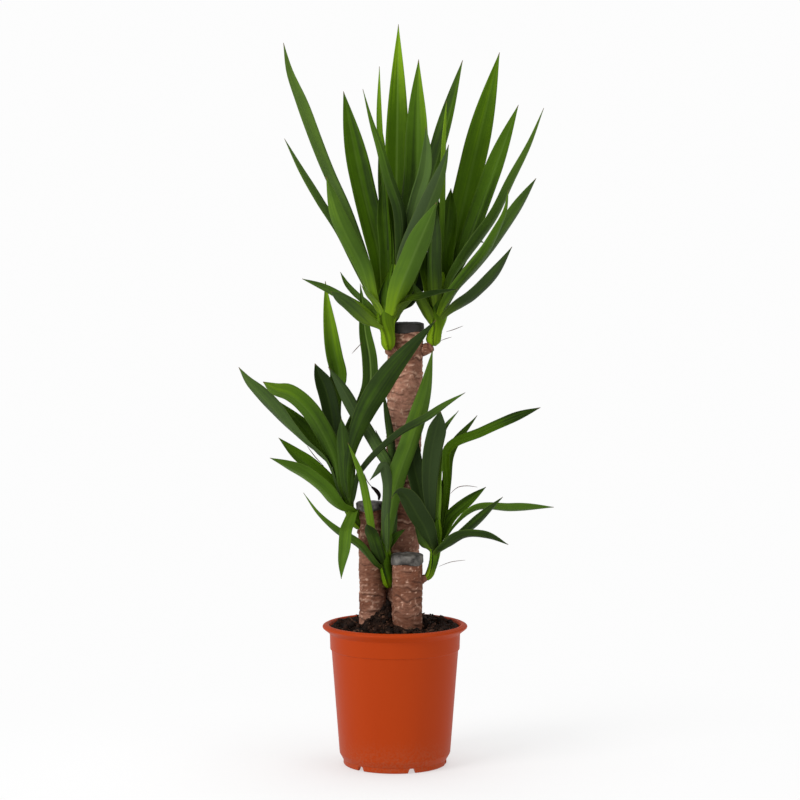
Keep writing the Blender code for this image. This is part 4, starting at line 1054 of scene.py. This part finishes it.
def make_wax(cane, bloom, seed):
    """Closed cap: each row is a circle of the profile's radius and height. The skirt's rows are moved
    down by a noise round the cap, and the outside swells and sinks by another."""
    end = np.array(cane.axis[-1], dtype=float)
    tilt = end - np.array(cane.axis[-2], dtype=float)
    tilt /= np.linalg.norm(tilt)
    inner, outer = cane.radius + CLEARANCE, cane.radius + CLEARANCE + WAX_WALL
    dome = [(outer * s, WAX_TOP - 1.6 * s ** 4 - 0.6 * s ** 12) for s in np.linspace(0.96, 0.02, 14)]
    profile = [(0.1, CLEARANCE), (inner, CLEARANCE), (inner, -WAX_SKIRT), (outer - 0.4, -WAX_SKIRT)]
    profile += [(outer, h) for h in np.linspace(-WAX_SKIRT + 0.6, WAX_TOP - 3.4, 9)]
    profile += [(outer - 0.15, WAX_TOP - 2.6)] + dome
    radius, height = np.array(profile).T[:, :, None]
    angle = turn_angles(WAX_COLUMNS)[None, :]
    around, along = np.broadcast_arrays(angle / math.tau, np.linspace(0, 1, len(profile))[:, None])
    drip = DRIP * (relief(around, along * 0, 7, 2, seed) - 0.5)
    low = smooth_step(-height, -WAX_TOP + 3.0, WAX_SKIRT)
    lumps = relief(around, along, 12, 7, seed + 1) + 0.5 * relief(around, along, 30, 16, seed + 2) - 0.75
    outside = (np.arange(len(profile)) > 3)[:, None]
    radius = radius + 0.55 * lumps * outside * smooth_step(radius, 2.0, 8.0)
    height = height - drip * low + 0.7 * lumps * outside * (1 - low)
    grid = np.stack(np.broadcast_arrays(radius * np.cos(angle), radius * np.sin(angle), height), axis=-1)
    moved = grid * (1, 1, 0) + end + grid[..., 2:] * tilt
    return closed_skin(moved, bloom=bloom * (0.35 + 0.65 * relief(around, along, 10, 6, seed + 3)))


def make_wax_material():
    material, tree, shader = new_material("cane_wax")
    place = object_place(tree)
    patches = uneven(tree, place, 120.0, 3.4)
    # Greyer patches: bloom on the wax, partly a painted highlight.
    bloom = spread(tree, layer_value(tree, "bloom"), 0.1, 0.75)
    colour = tinted(tree, (0.016, 0.013, 0.011), patches, bloom, (0.170, 0.158, 0.142))
    roughness = spread(tree, patches, 0.0, 1.0, 0.5, 0.75)
    finish_surface(tree, shader, colour, roughness, 0.3, fine_relief(tree, place, 260.0), 0.0005, 0.7)
    return material


WAX = make_wax_material()
for k, (name, cane) in enumerate(CANES.items()):
    add_piece(f"seal_{name}", make_wax(cane, BLOOM_AND_SHEEN[name], 40 + 10 * k), WAX,
              [f"wax_{name}"])

# %% [markdown]
# ## The pot
#
# A nursery pot is blown or injection-moulded from thin orange-brown plastic: a rolled lip, a collar a
# little wider than the body, a body that tapers to the foot, and a foot ring with arches for drainage.
# It is a turned profile with small rounded corners. The arches and floor holes are cut with a Boolean,
# which is the direct way to cut a shape through a wall.

# %% The pot's profile
RIM_RADIUS = 85.0
POT_HEIGHT = 165.0
NECK_RADIUS = 76.4
COLLAR_HEIGHT = 135.0
COLLAR_STEP = 1.5
BODY_TOP_RADIUS = 74.3
BODY_FOOT_RADIUS = 65.0
FOOT_RADIUS = 60.5
FOOT_HEIGHT = 7.0
CHAMFER_HEIGHT = 13.5
WALL = 1.6
FLOOR_UNDERSIDE = 5.5
PAD_RADIUS = 16.0
POT_COLUMNS = 168
CORNER_RADIUS = 1.1
NOTCH_COUNT = 6
FIRST_NOTCH_ANGLE = -71.0
NOTCH_WIDTH = 9.0
NOTCH_HEIGHT = 5.5
HOLE_CIRCLE = 38.0
HOLE_RADIUS = 5.0
SHARP_ANGLE = 35


def pot_inner_radius(height):
    """Inner radius of the wall: the outer line less the wall's thickness."""
    heights = [FOOT_HEIGHT, CHAMFER_HEIGHT, COLLAR_HEIGHT - 1, COLLAR_HEIGHT + 1, POT_HEIGHT - 12]
    radii = [FOOT_RADIUS, BODY_FOOT_RADIUS, BODY_TOP_RADIUS, BODY_TOP_RADIUS + COLLAR_STEP, NECK_RADIUS]
    return float(np.interp(height, heights, radii)) - WALL


def rounded(profile, radius, steps=4):
    """Replaces each corner with a piece of parabola that starts and ends a radius from the corner, or
    0.4 of the shorter side where that is less: (1-t)^2 a + 2t(1-t) corner + t^2 b."""
    line = np.array(profile, dtype=float)
    made = [line[0]]
    t = np.linspace(0.0, 1.0, steps)[:, None]
    for before, corner, after in zip(line, line[1:], line[2:]):
        back, ahead = before - corner, after - corner
        reach = min(radius, 0.4 * np.linalg.norm(back), 0.4 * np.linalg.norm(ahead))
        a = corner + back / np.linalg.norm(back) * reach
        b = corner + ahead / np.linalg.norm(ahead) * reach
        made += list((1 - t) ** 2 * a + 2 * t * (1 - t) * corner + t ** 2 * b)
    made.append(line[-1])
    return np.array(made)


def turned(profile, columns):
    """Grid of a profile turned about Z. The profile runs so that faces look outwards."""
    angle = turn_angles(columns)[None, :]
    radius, height = profile[:, 0:1], profile[:, 1:2]
    parts = np.broadcast_arrays(radius * np.cos(angle), radius * np.sin(angle), height)
    return np.stack(parts, axis=-1)


def pot_profile():
    inside_floor = FLOOR_UNDERSIDE + WALL
    lip = POT_HEIGHT
    neck_inner = NECK_RADIUS - WALL
    return [
        (0.05, 0), (PAD_RADIUS, 0), (PAD_RADIUS + 2, FLOOR_UNDERSIDE),
        (FOOT_RADIUS - 5.0, FLOOR_UNDERSIDE), (FOOT_RADIUS - 4.0, 0), (FOOT_RADIUS - 0.8, 0),
        (FOOT_RADIUS, 1.2), (FOOT_RADIUS, FOOT_HEIGHT - 0.8), (FOOT_RADIUS + 0.9, FOOT_HEIGHT),
        (BODY_FOOT_RADIUS, CHAMFER_HEIGHT),
        (BODY_TOP_RADIUS, COLLAR_HEIGHT - 0.6), (BODY_TOP_RADIUS + COLLAR_STEP, COLLAR_HEIGHT + 0.4),
        (NECK_RADIUS, lip - 11.0), (RIM_RADIUS - 0.6, lip - 4.6), (RIM_RADIUS, lip - 3.2),
        (RIM_RADIUS - 0.8, lip - 1.8), (RIM_RADIUS - 4.0, lip - 0.2), (RIM_RADIUS - 6.0, lip),
        (RIM_RADIUS - 7.8, lip - 0.8), (neck_inner + 0.8, lip - 4.5), (neck_inner, lip - 10.0),
        (pot_inner_radius(COLLAR_HEIGHT + 1.4), COLLAR_HEIGHT + 1.4),
        (pot_inner_radius(COLLAR_HEIGHT - 1.6), COLLAR_HEIGHT - 1.6),
        (pot_inner_radius(CHAMFER_HEIGHT), CHAMFER_HEIGHT),
        (pot_inner_radius(inside_floor + 1.5), inside_floor + 1.5),
        (pot_inner_radius(inside_floor + 1.5) - 2.0, inside_floor), (0.05, inside_floor),
    ]


print("corners of the pot's outline:", len(pot_profile()))


# %% Cut the arches and the floor holes
def arch_outline():
    """Arch with leaning sides and a rounded top, wide open at the bottom."""
    half, top = NOTCH_WIDTH / 2, NOTCH_HEIGHT
    return [(-half - 0.6, -2), (half + 0.6, -2), (half, 1.0), (half - 1.2, top - 1.1), (half - 2.4, top),
            (-half + 2.4, top), (-half + 1.2, top - 1.1), (-half, 1.0)]


def arch_prism(angle, near, far):
    """Closed prism of the arch's outline (across, height), pushed out from near to far at an angle."""
    c, s = math.cos(angle), math.sin(angle)
    across, height = np.array(arch_outline(), dtype=float).T
    rows = [np.stack([reach * c - across * s, reach * s + across * c, height], axis=1)
            for reach in (near, far)]
    return closed_skin(np.stack(rows))


def round_prism(x, y, radius, sides, low, high):
    """Closed upright prism over a circle about (x, y)."""
    angle = turn_angles(sides)
    outline = np.stack([x + radius * np.cos(angle), y + radius * np.sin(angle)], axis=1)
    return closed_skin(np.stack([np.insert(outline, 2, height, axis=1) for height in (low, high)]))


def cut(piece, helpers):
    """Takes the helper skins out of a piece with one exact Boolean, then applies it."""
    group = bpy.data.collections.new("cutters")
    bpy.context.scene.collection.children.link(group)
    made = []
    for k, skin in enumerate(helpers):
        mesh = bpy.data.meshes.new(f"cutter_{k}")
        mesh.from_pydata(skin.points * MM, [], skin.faces)
        made.append(bpy.data.objects.new(mesh.name, mesh))
        group.objects.link(made[-1])
    modifier = piece.modifiers.new("cut", "BOOLEAN")
    modifier.operand_type = "COLLECTION"
    modifier.collection = group
    modifier.operation = "DIFFERENCE"
    modifier.solver = "EXACT"
    bpy.context.view_layer.update()
    result = bpy.data.meshes.new_from_object(piece.evaluated_get(bpy.context.evaluated_depsgraph_get()))
    piece.modifiers.remove(modifier)
    result.name = piece.name
    piece.data = result
    for thing in made:
        bpy.data.objects.remove(thing)
    bpy.data.collections.remove(group)
    print(f"{piece.name}: {len(result.polygons)} faces after cutting")


def pot_cutters():
    """An arch through the foot ring at each step round the pot, and a floor hole halfway to the next."""
    helpers = []
    for k in range(NOTCH_COUNT):
        angle = math.radians(FIRST_NOTCH_ANGLE + 360 * k / NOTCH_COUNT)
        helpers.append(arch_prism(angle, FOOT_RADIUS - 7.0, FOOT_RADIUS + 4.0))
        turn = angle + math.pi / NOTCH_COUNT
        x, y = HOLE_CIRCLE * math.cos(turn), HOLE_CIRCLE * math.sin(turn)
        helpers.append(round_prism(x, y, HOLE_RADIUS, 24, 1.0, 12.0))
    return helpers


# %% [markdown]
# ## Moulded plastic
#
# The plastic is orange all through. What makes it look real is small: a satin gloss that differs a
# little from place to place, flow marks too faint to name, dust near the foot, and the soft texture of
# the mould.

# %% Pot material
def make_pot_material():
    material, tree, shader = new_material("pot_plastic")
    place = object_place(tree)
    height = tree.nodes.new("ShaderNodeSeparateXYZ")
    feed(tree, height.inputs[0], place)
    drawn_out = stretched(tree, place, (1, 1, 0.25))
    flow = uneven(tree, drawn_out, 14.0, 1.5)
    specks = uneven(tree, place, 420.0, 5.0)
    colour = mixed(tree, flow, (0.370, 0.036, 0.001), (0.405, 0.042, 0.002))
    dust = spread(tree, height.outputs["Z"], 0.004, 0.045, 0.22, 0.0)
    colour = tinted(tree, colour, dust, specks, (0.300, 0.140, 0.080))
    roughness = spread(tree, flow, 0.0, 1.0, 0.42, 0.52)
    finish_surface(tree, shader, colour, roughness, 0.1, fine_relief(tree, place, 300.0), 0.0002, 0.25)
    return material


POT = make_pot_material()
pot_skin = closed_skin(turned(rounded(pot_profile(), CORNER_RADIUS), POT_COLUMNS))
pot = add_piece("nursery_pot", pot_skin, POT, ["pot"])
cut(pot, pot_cutters())
pot.data.set_sharp_from_angle(angle=math.radians(SHARP_ANGLE))

# %% [markdown]
# ## Soil
#
# The soil is peat and fine bark: a dark, uneven bed heaped between the canes, with crumbs of every size
# lying on it, flat chips of bark and a few hair-thin roots. The bed is one skin with plain holes for
# the canes. Crumbs could be instances, but instances are lost on export, so they are small lumps of a
# few faces, all in one mesh and placed by a seeded draw.

# %% The bed of soil
SOIL_EDGE = 159.5
SOIL_BACK_RISE = 4.0
SOIL_EDGE_BAND = 12.0
WAVE_COUNT = 14
WAVE_PITCHES = (0.16, 0.5)
WAVE_HEIGHT = 0.55
GRAIN = ((2.4, 22, 71), (1.8, 50, 72), (1.0, 110, 73))
GRAIN_MIDDLE = 2.6
GRAIN_SQUARE = 200
Mound = namedtuple("Mound", "x y height spread")
MOUNDS = (Mound(-8, 2, 24, 15), Mound(26, 38, 4, 18), Mound(48, 4, 1, 12))
SOIL_COLUMNS = 200
SOIL_ROWS = 62
CANE_HOLE_MARGIN = 1.4
CANE_HOLE_SIDES = 60
CANE_HOLE_TOP = 220.0


def soil_waves():
    """Small waves (pitch along x, pitch along y, phase), drawn with a fixed seed."""
    draw = random.Random(11)
    waves = []
    for _ in range(WAVE_COUNT):
        heading = draw.uniform(0, math.tau)
        pitch = draw.uniform(*WAVE_PITCHES)
        phase = draw.uniform(0, math.tau)
        waves.append((pitch * math.cos(heading), pitch * math.sin(heading), phase))
    return waves


def soil_height(x, y):
    """A slope up to the back, Gaussian mounds, and a sum of small sine waves that fades at the edge."""
    reach = BODY_TOP_RADIUS
    height = SOIL_EDGE + SOIL_BACK_RISE * (0.5 + 0.5 * np.sin(math.pi / 2 * np.clip(y / reach, -1, 1)))
    for mound in MOUNDS:
        gap = (x - mound.x) ** 2 + (y - mound.y) ** 2
        height = height + mound.height * np.exp(-gap / (2 * mound.spread ** 2))
    edge = np.clip((reach - np.hypot(x, y)) / SOIL_EDGE_BAND, 0.0, 1.0)
    for kx, ky, phase in soil_waves():
        height = height + WAVE_HEIGHT * edge * np.sin(kx * x + ky * y + phase)
    return height


def soil_grain(x, y):
    """Crumbly relief in mm: lattices of noise, each with its height, number of cells and seed, over a
    square that holds the whole bed, less the middle of their sum."""
    u, v = (x + GRAIN_SQUARE / 2) / GRAIN_SQUARE, (y + GRAIN_SQUARE / 2) / GRAIN_SQUARE
    return sum(height * relief(u, v, cells, cells, seed) for height, cells, seed in GRAIN) - GRAIN_MIDDLE


def make_soil_bed():
    angle = turn_angles(SOIL_COLUMNS)[None, :]
    edge_radius = NECK_RADIUS - WALL - CLEARANCE
    radius = edge_radius * np.linspace(1.0, 0.002, SOIL_ROWS)[:, None]
    x, y = radius * np.cos(angle), radius * np.sin(angle)
    top = np.stack([x, y, soil_height(x, y) + soil_grain(x, y)], axis=-1)
    heights = [FLOOR_UNDERSIDE + WALL + CLEARANCE, FLOOR_UNDERSIDE + WALL + CLEARANCE + 2, CHAMFER_HEIGHT,
               COLLAR_HEIGHT - 1.9, COLLAR_HEIGHT + 1.4, POT_HEIGHT - 11.0]
    radii = [pot_inner_radius(height) - CLEARANCE for height in heights]
    radii[0] -= 3.0
    walls = turned(np.array([(0.05, heights[0])] + list(zip(radii, heights))), SOIL_COLUMNS)
    return closed_skin(np.concatenate([walls, top]))


def cane_holes():
    """Plain round holes just inside the bark, so that the soil closes round each cane."""
    helpers = []
    for cane in CANES.values():
        x, y, low = cane.axis[0]
        radius = cane.radius - CANE_HOLE_MARGIN
        helpers.append(round_prism(x, y, radius, CANE_HOLE_SIDES, low - CLEARANCE, CANE_HOLE_TOP))
    return helpers


print("height of the soil in the middle, mm:", round(float(soil_height(0.0, 0.0)), 1))


# %% Scattering over the bed
EDGE_MARGIN = 5.0
SPARE_DRAWS = 4


def free_places(draw, count, clear):
    """Random places on the bed that are clear of the canes: sqrt(random) gives an even spread."""
    radius = (NECK_RADIUS - WALL - EDGE_MARGIN) * np.sqrt(draw.random(SPARE_DRAWS * count))
    angle = draw.random(SPARE_DRAWS * count) * math.tau
    x, y = radius * np.cos(angle), radius * np.sin(angle)
    keep = np.ones(len(x), dtype=bool)
    for cane in CANES.values():
        keep &= np.hypot(x - cane.axis[0][0], y - cane.axis[0][1]) > cane.radius + clear
    return x[keep][:count], y[keep][:count]


def ball_pattern():
    """Twelve corners and twenty triangles of an icosahedron, as unit vectors."""
    g = (1 + math.sqrt(5)) / 2
    corners = [(-1, g, 0), (1, g, 0), (-1, -g, 0), (1, -g, 0), (0, -1, g), (0, 1, g),
               (0, -1, -g), (0, 1, -g), (g, 0, -1), (g, 0, 1), (-g, 0, -1), (-g, 0, 1)]
    faces = [(0, 11, 5), (0, 5, 1), (0, 1, 7), (0, 7, 10), (0, 10, 11), (1, 5, 9), (5, 11, 4),
             (11, 10, 2), (10, 7, 6), (7, 1, 8), (3, 9, 4), (3, 4, 2), (3, 2, 6), (3, 6, 8),
             (3, 8, 9), (4, 9, 5), (2, 4, 11), (6, 2, 10), (8, 6, 7), (9, 8, 1)]
    return unit_rows(np.array(corners, dtype=float)), np.array(faces)


def scattered(draw, x, y, sizes, lift, tint):
    """Copies of the ball pattern: each corner is pushed in or out at random, the lump is scaled along
    three axes, turned about Z and tipped, and set on the bed."""
    corners, faces = ball_pattern()
    count = len(x)
    lumps = corners[None] * draw.uniform(0.7, 1.15, (count, len(corners), 1)) * sizes[:, None, :]
    turn, tip = draw.uniform(0, math.tau, count)[:, None], draw.uniform(-0.5, 0.5, count)[:, None]
    px, py, pz = lumps[..., 0], lumps[..., 1], lumps[..., 2]
    px, pz = px * np.cos(tip) - pz * np.sin(tip), px * np.sin(tip) + pz * np.cos(tip)
    px, py = px * np.cos(turn) - py * np.sin(turn), px * np.sin(turn) + py * np.cos(turn)
    ground = soil_height(x, y) + soil_grain(x, y)
    points = np.stack([px + x[:, None], py + y[:, None], pz + (ground + lift)[:, None]], axis=-1)
    numbers = faces[None] + (np.arange(count) * len(corners))[:, None, None]
    layers = {"tint": np.repeat(tint, len(corners))}
    return Skin(points.reshape(-1, 3), numbers.reshape(-1, 3).tolist(), layers)


# %% Crumbs and chips
CRUMB_COUNT = 1500
SMALLEST_CRUMB = 0.6
CRUMB_RANGE = 3.4
BACK_LINE = 25
BACK_CRUMBS = 0.4
CHIP_COUNT = 90
CHIP_LENGTHS = (2.5, 6.0)
CHIP_THICKNESS = 0.9
CHIP_LIFT = 0.7
Chip = namedtuple("Chip", "x y sizes tint")
BIG_CHIP = Chip(-22.0, -24.0, (7.0, 4.5, 2.0), 0.78)
print("crumbs and chips:", CRUMB_COUNT, CHIP_COUNT)


def make_crumbs():
    """Most crumbs are small, because the random share is raised to its fourth power."""
    draw = np.random.default_rng(5)
    x, y = free_places(draw, CRUMB_COUNT, 0.8)
    less_behind = np.where(y > BACK_LINE, BACK_CRUMBS, 1.0)
    size = SMALLEST_CRUMB + CRUMB_RANGE * draw.random(len(x)) ** 4 * less_behind
    sizes = size[:, None] * draw.uniform(0.7, 1.2, (len(x), 3))
    return scattered(draw, x, y, sizes, 0.3 * size, draw.random(len(x)) ** 2)


def make_chips():
    draw = np.random.default_rng(6)
    x, y = free_places(draw, CHIP_COUNT, 4.0)
    long = draw.uniform(*CHIP_LENGTHS, len(x))
    broad = long * draw.uniform(0.4, 0.7, len(x))
    sizes = np.stack([long, broad, np.full(len(x), CHIP_THICKNESS)], axis=1)
    tint = draw.uniform(0.3, 1.0, len(x))
    x, y = np.append(x, BIG_CHIP.x), np.append(y, BIG_CHIP.y)
    sizes = np.vstack([sizes, BIG_CHIP.sizes])
    return scattered(draw, x, y, sizes, np.full(len(x), CHIP_LIFT), np.append(tint, BIG_CHIP.tint))


# %% Fine roots
ROOT_COUNT = 70
ROOT_RADIUS = 0.22
ROOT_LIMIT = 72.0
TUBE_ROWS = 12
print("roots:", ROOT_COUNT)


def thin_tube(points, radius, sides, tint):
    """Round hair along a smooth path, tapering to both ends."""
    line = smooth_path(points, TUBE_ROWS)
    side, other = ring_directions(line)
    thick = radius * (0.35 + 0.65 * np.sin(math.pi * np.linspace(0.02, 0.98, TUBE_ROWS)))[:, None]
    return closed_skin(ring_grid(line, side, other, turn_angles(sides)[None, :], thick), tint=tint)


def make_roots():
    """Short hairs that bend one way, kept on the bed by drawing in what is past its limit."""
    draw = np.random.default_rng(7)
    x, y = free_places(draw, ROOT_COUNT, 6.0)
    skins = []
    for k in range(len(x)):
        heading, bend = draw.uniform(0, math.tau), draw.uniform(-1.2, 1.2)
        steps = np.linspace(0.0, draw.uniform(4, 13), 4)
        px = x[k] + steps * np.cos(heading + bend * steps / 10)
        py = y[k] + steps * np.sin(heading + bend * steps / 10)
        inside = np.minimum(1.0, ROOT_LIMIT / np.hypot(px, py))
        px, py = px * inside, py * inside
        pz = soil_height(px, py) + soil_grain(px, py) + np.array([0.2, 0.9, 1.0, 0.1])
        line = np.stack([px, py, pz], axis=1)
        skins.append(thin_tube(line, ROOT_RADIUS, 5, draw.uniform(0.5, 1.0)))
    return joined(skins)


# %% Soil materials
def make_soil_material():
    material, tree, shader = new_material("soil")
    place = object_place(tree)
    damp = uneven(tree, place, 60.0, 2.5)
    bits = uneven(tree, place, 600.0, 4.0)
    colour = mixed(tree, damp, (0.007, 0.0035, 0.0022), (0.022, 0.010, 0.006))
    colour = mixed(tree, spread(tree, bits, 0.7, 1.0, 0.0, 0.6), colour, (0.070, 0.040, 0.026))
    roughness = spread(tree, damp, 0.0, 1.0, 0.75, 0.98)
    finish_surface(tree, shader, colour, roughness, 0.1, fine_relief(tree, place, 420.0), 0.0012, 1.0)
    return material


def make_crumb_material():
    """Each crumb, chip or root has a tint of its own, from black peat through red bark to pale fibre."""
    material, tree, shader = new_material("soil_crumb")
    place = object_place(tree)
    tint = layer_value(tree, "tint")
    colour = mixed(tree, spread(tree, tint, 0.0, 0.6), (0.007, 0.004, 0.003), (0.034, 0.013, 0.007))
    colour = mixed(tree, spread(tree, tint, 0.7, 1.0), colour, (0.130, 0.062, 0.036))
    bits = uneven(tree, place, 350.0, 3.0)
    colour = tinted(tree, colour, bits, 0.5, (0.012, 0.008, 0.006))
    roughness = spread(tree, bits, 0.0, 1.0, 0.7, 0.95)
    finish_surface(tree, shader, colour, roughness, 0.12, fine_relief(tree, place, 500.0), 0.0006, 0.8)
    return material


SOIL = make_soil_material()
CRUMB = make_crumb_material()
soil = add_piece("soil_bed", make_soil_bed(), SOIL, ["soil"])
cut(soil, cane_holes())
soil.data.shade_smooth()
add_piece("soil_crumbs", make_crumbs(), CRUMB)
add_piece("bark_chips", make_chips(), CRUMB)
add_piece("fine_roots", make_roots(), CRUMB)

# %% [markdown]
# ## Dry bits
#
# A few dry fibres hang where old leaves were pulled off, and a dead leaf has curled up, nearly black, on
# the left cane's wax. They are thin tapering tubes along given paths, like the roots.

# %% Dry fibres and the curled leaf
Fibre = namedtuple("Fibre", "radius tint path")
FIBRES = [
    Fibre(0.45, 0.95, [(64, -11, 318), (73.5, -12, 326), (84, -12, 327.5), (96, -12, 326)]),
    Fibre(0.35, 1.0, [(51, -10, 233), (65, -12, 238.5), (82, -14, 241)]),
    Fibre(0.4, 0.9, [(60, 14, 506), (68, 12, 508.5), (79.5, 10, 513)]),
    Fibre(0.35, 0.9, [(52, 14, 495), (58, 12, 497.5), (66.5, 12, 500)]),
    Fibre(0.45, 0.9, [(-50, 0, 481), (-45, 0, 486.5), (-38, 0, 494)]),
    Fibre(0.5, 0.5, [(-101, -30, 375), (-93, -30, 364), (-82, -30, 352)]),
    Fibre(0.5, 0.4, [(-36, 0, 341), (-32, 3, 331), (-27, 4, 325), (-24, 5, 322)]),
    Fibre(2.4, 0.02, [(-27.5, 4, 325), (-22.5, 4, 321), (-18.5, 5, 315), (-19, 7, 309)]),
]
add_piece("dry_fibres", joined([thin_tube(fibre.path, fibre.radius, 8, fibre.tint) for fibre in FIBRES]),
          CRUMB)

# %% [markdown]
# ## Camera, light and floor
#
# The camera stands two and a half metres away at a little over half a metre, looking slightly down
# through a long lens. Light is a white studio: a bright room, one large soft box at the upper left of
# the viewer, a weaker one at the right, and one overhead. The floor is pale and fades into the room.

# %% Camera
FOCAL_PIXELS = 2130.0
FRAME_PIXELS = 800.0
HORIZON_PIXELS = 107.0
SENSOR_WIDTH = 36.0
CAMERA_PLACE = (0.0059, -2.480, 0.5514)
camera_data = bpy.data.cameras.new("camera")
camera_data.sensor_width = SENSOR_WIDTH
camera_data.lens = SENSOR_WIDTH * FOCAL_PIXELS / FRAME_PIXELS
camera = bpy.data.objects.new("camera", camera_data)
bpy.context.scene.collection.objects.link(camera)
camera.location = CAMERA_PLACE
camera.rotation_euler = (math.pi / 2 - math.atan(HORIZON_PIXELS / FOCAL_PIXELS), 0.0, 0.0)
bpy.context.scene.camera = camera
print("lens:", round(camera_data.lens, 2), "mm")


# %% Lights and room
PLANT_MIDDLE = 0.4


def soft_box(name, place, size, power):
    """Square area light that looks at the middle of the plant."""
    data = bpy.data.lights.new(name, "AREA")
    data.size = size
    data.energy = power
    lamp = bpy.data.objects.new(name, data)
    bpy.context.scene.collection.objects.link(lamp)
    x, y, z = place
    lamp.location = place
    lamp.rotation_euler = (math.atan2(math.hypot(x, y), z - PLANT_MIDDLE), 0.0, math.atan2(x, -y))


soft_box("key_left", (-1.9, -1.7, 1.5), 1.3, 46.0)
soft_box("fill_right", (2.0, -1.4, 0.9), 1.2, 7.0)
soft_box("top", (0.1, 0.3, 2.4), 1.4, 26.0)

# The camera sees a whiter room than the one that lights the plant.
ROOM_WHITE = 0.98
ROOM_LIGHT = 0.55
world = bpy.data.worlds.new("studio")
world.use_nodes = True
bpy.context.scene.world = world
room = world.node_tree.nodes["Background"]
seen = world.node_tree.nodes.new("ShaderNodeLightPath").outputs["Is Camera Ray"]
room.inputs["Color"].default_value = (1.0, 1.0, 1.0, 1.0)
level = spread(world.node_tree, seen, 0.0, 1.0, ROOM_LIGHT, ROOM_WHITE)
world.node_tree.links.new(level, room.inputs["Strength"])
bpy.context.scene.view_settings.view_transform = "Standard"


# %% Floor
FLOOR_RADIUS = 14
FLOOR_SIDES = 96
FLOOR_DROP = 0.0005


def make_floor():
    """Round floor. Its pale material glows with a little over half the room's white at the pot and all
    of it 0.7 m away, where it can't be told from the room."""
    angle = turn_angles(FLOOR_SIDES)
    heights = np.full(FLOOR_SIDES, -FLOOR_DROP)
    points = np.stack([FLOOR_RADIUS * np.cos(angle), FLOOR_RADIUS * np.sin(angle), heights], axis=1)
    mesh = bpy.data.meshes.new("floor")
    mesh.from_pydata(points, [], [tuple(range(FLOOR_SIDES))])
    material, tree, shader = new_material("floor_white")
    away = tree.nodes.new("ShaderNodeVectorMath")
    away.operation = "LENGTH"
    feed(tree, away.inputs[0], object_place(tree))
    far = spread(tree, away.outputs["Value"], 0.07, 0.7, 0.55, 1.0)
    shader.inputs["Base Color"].default_value = (0.86, 0.86, 0.86, 1.0)
    shader.inputs["Roughness"].default_value = 0.9
    glow = tree.nodes.new("ShaderNodeEmission")
    glow.inputs["Strength"].default_value = ROOM_WHITE
    both = tree.nodes.new("ShaderNodeMixShader")
    feed(tree, both.inputs[0], far)
    tree.links.new(shader.outputs[0], both.inputs[1])
    tree.links.new(glow.outputs[0], both.inputs[2])
    tree.links.new(both.outputs[0], tree.nodes["Material Output"].inputs["Surface"])
    mesh.materials.append(material)
    floor = bpy.data.objects.new("floor", mesh)
    bpy.context.scene.collection.objects.link(floor)


make_floor()
print("floor radius, m:", FLOOR_RADIUS)
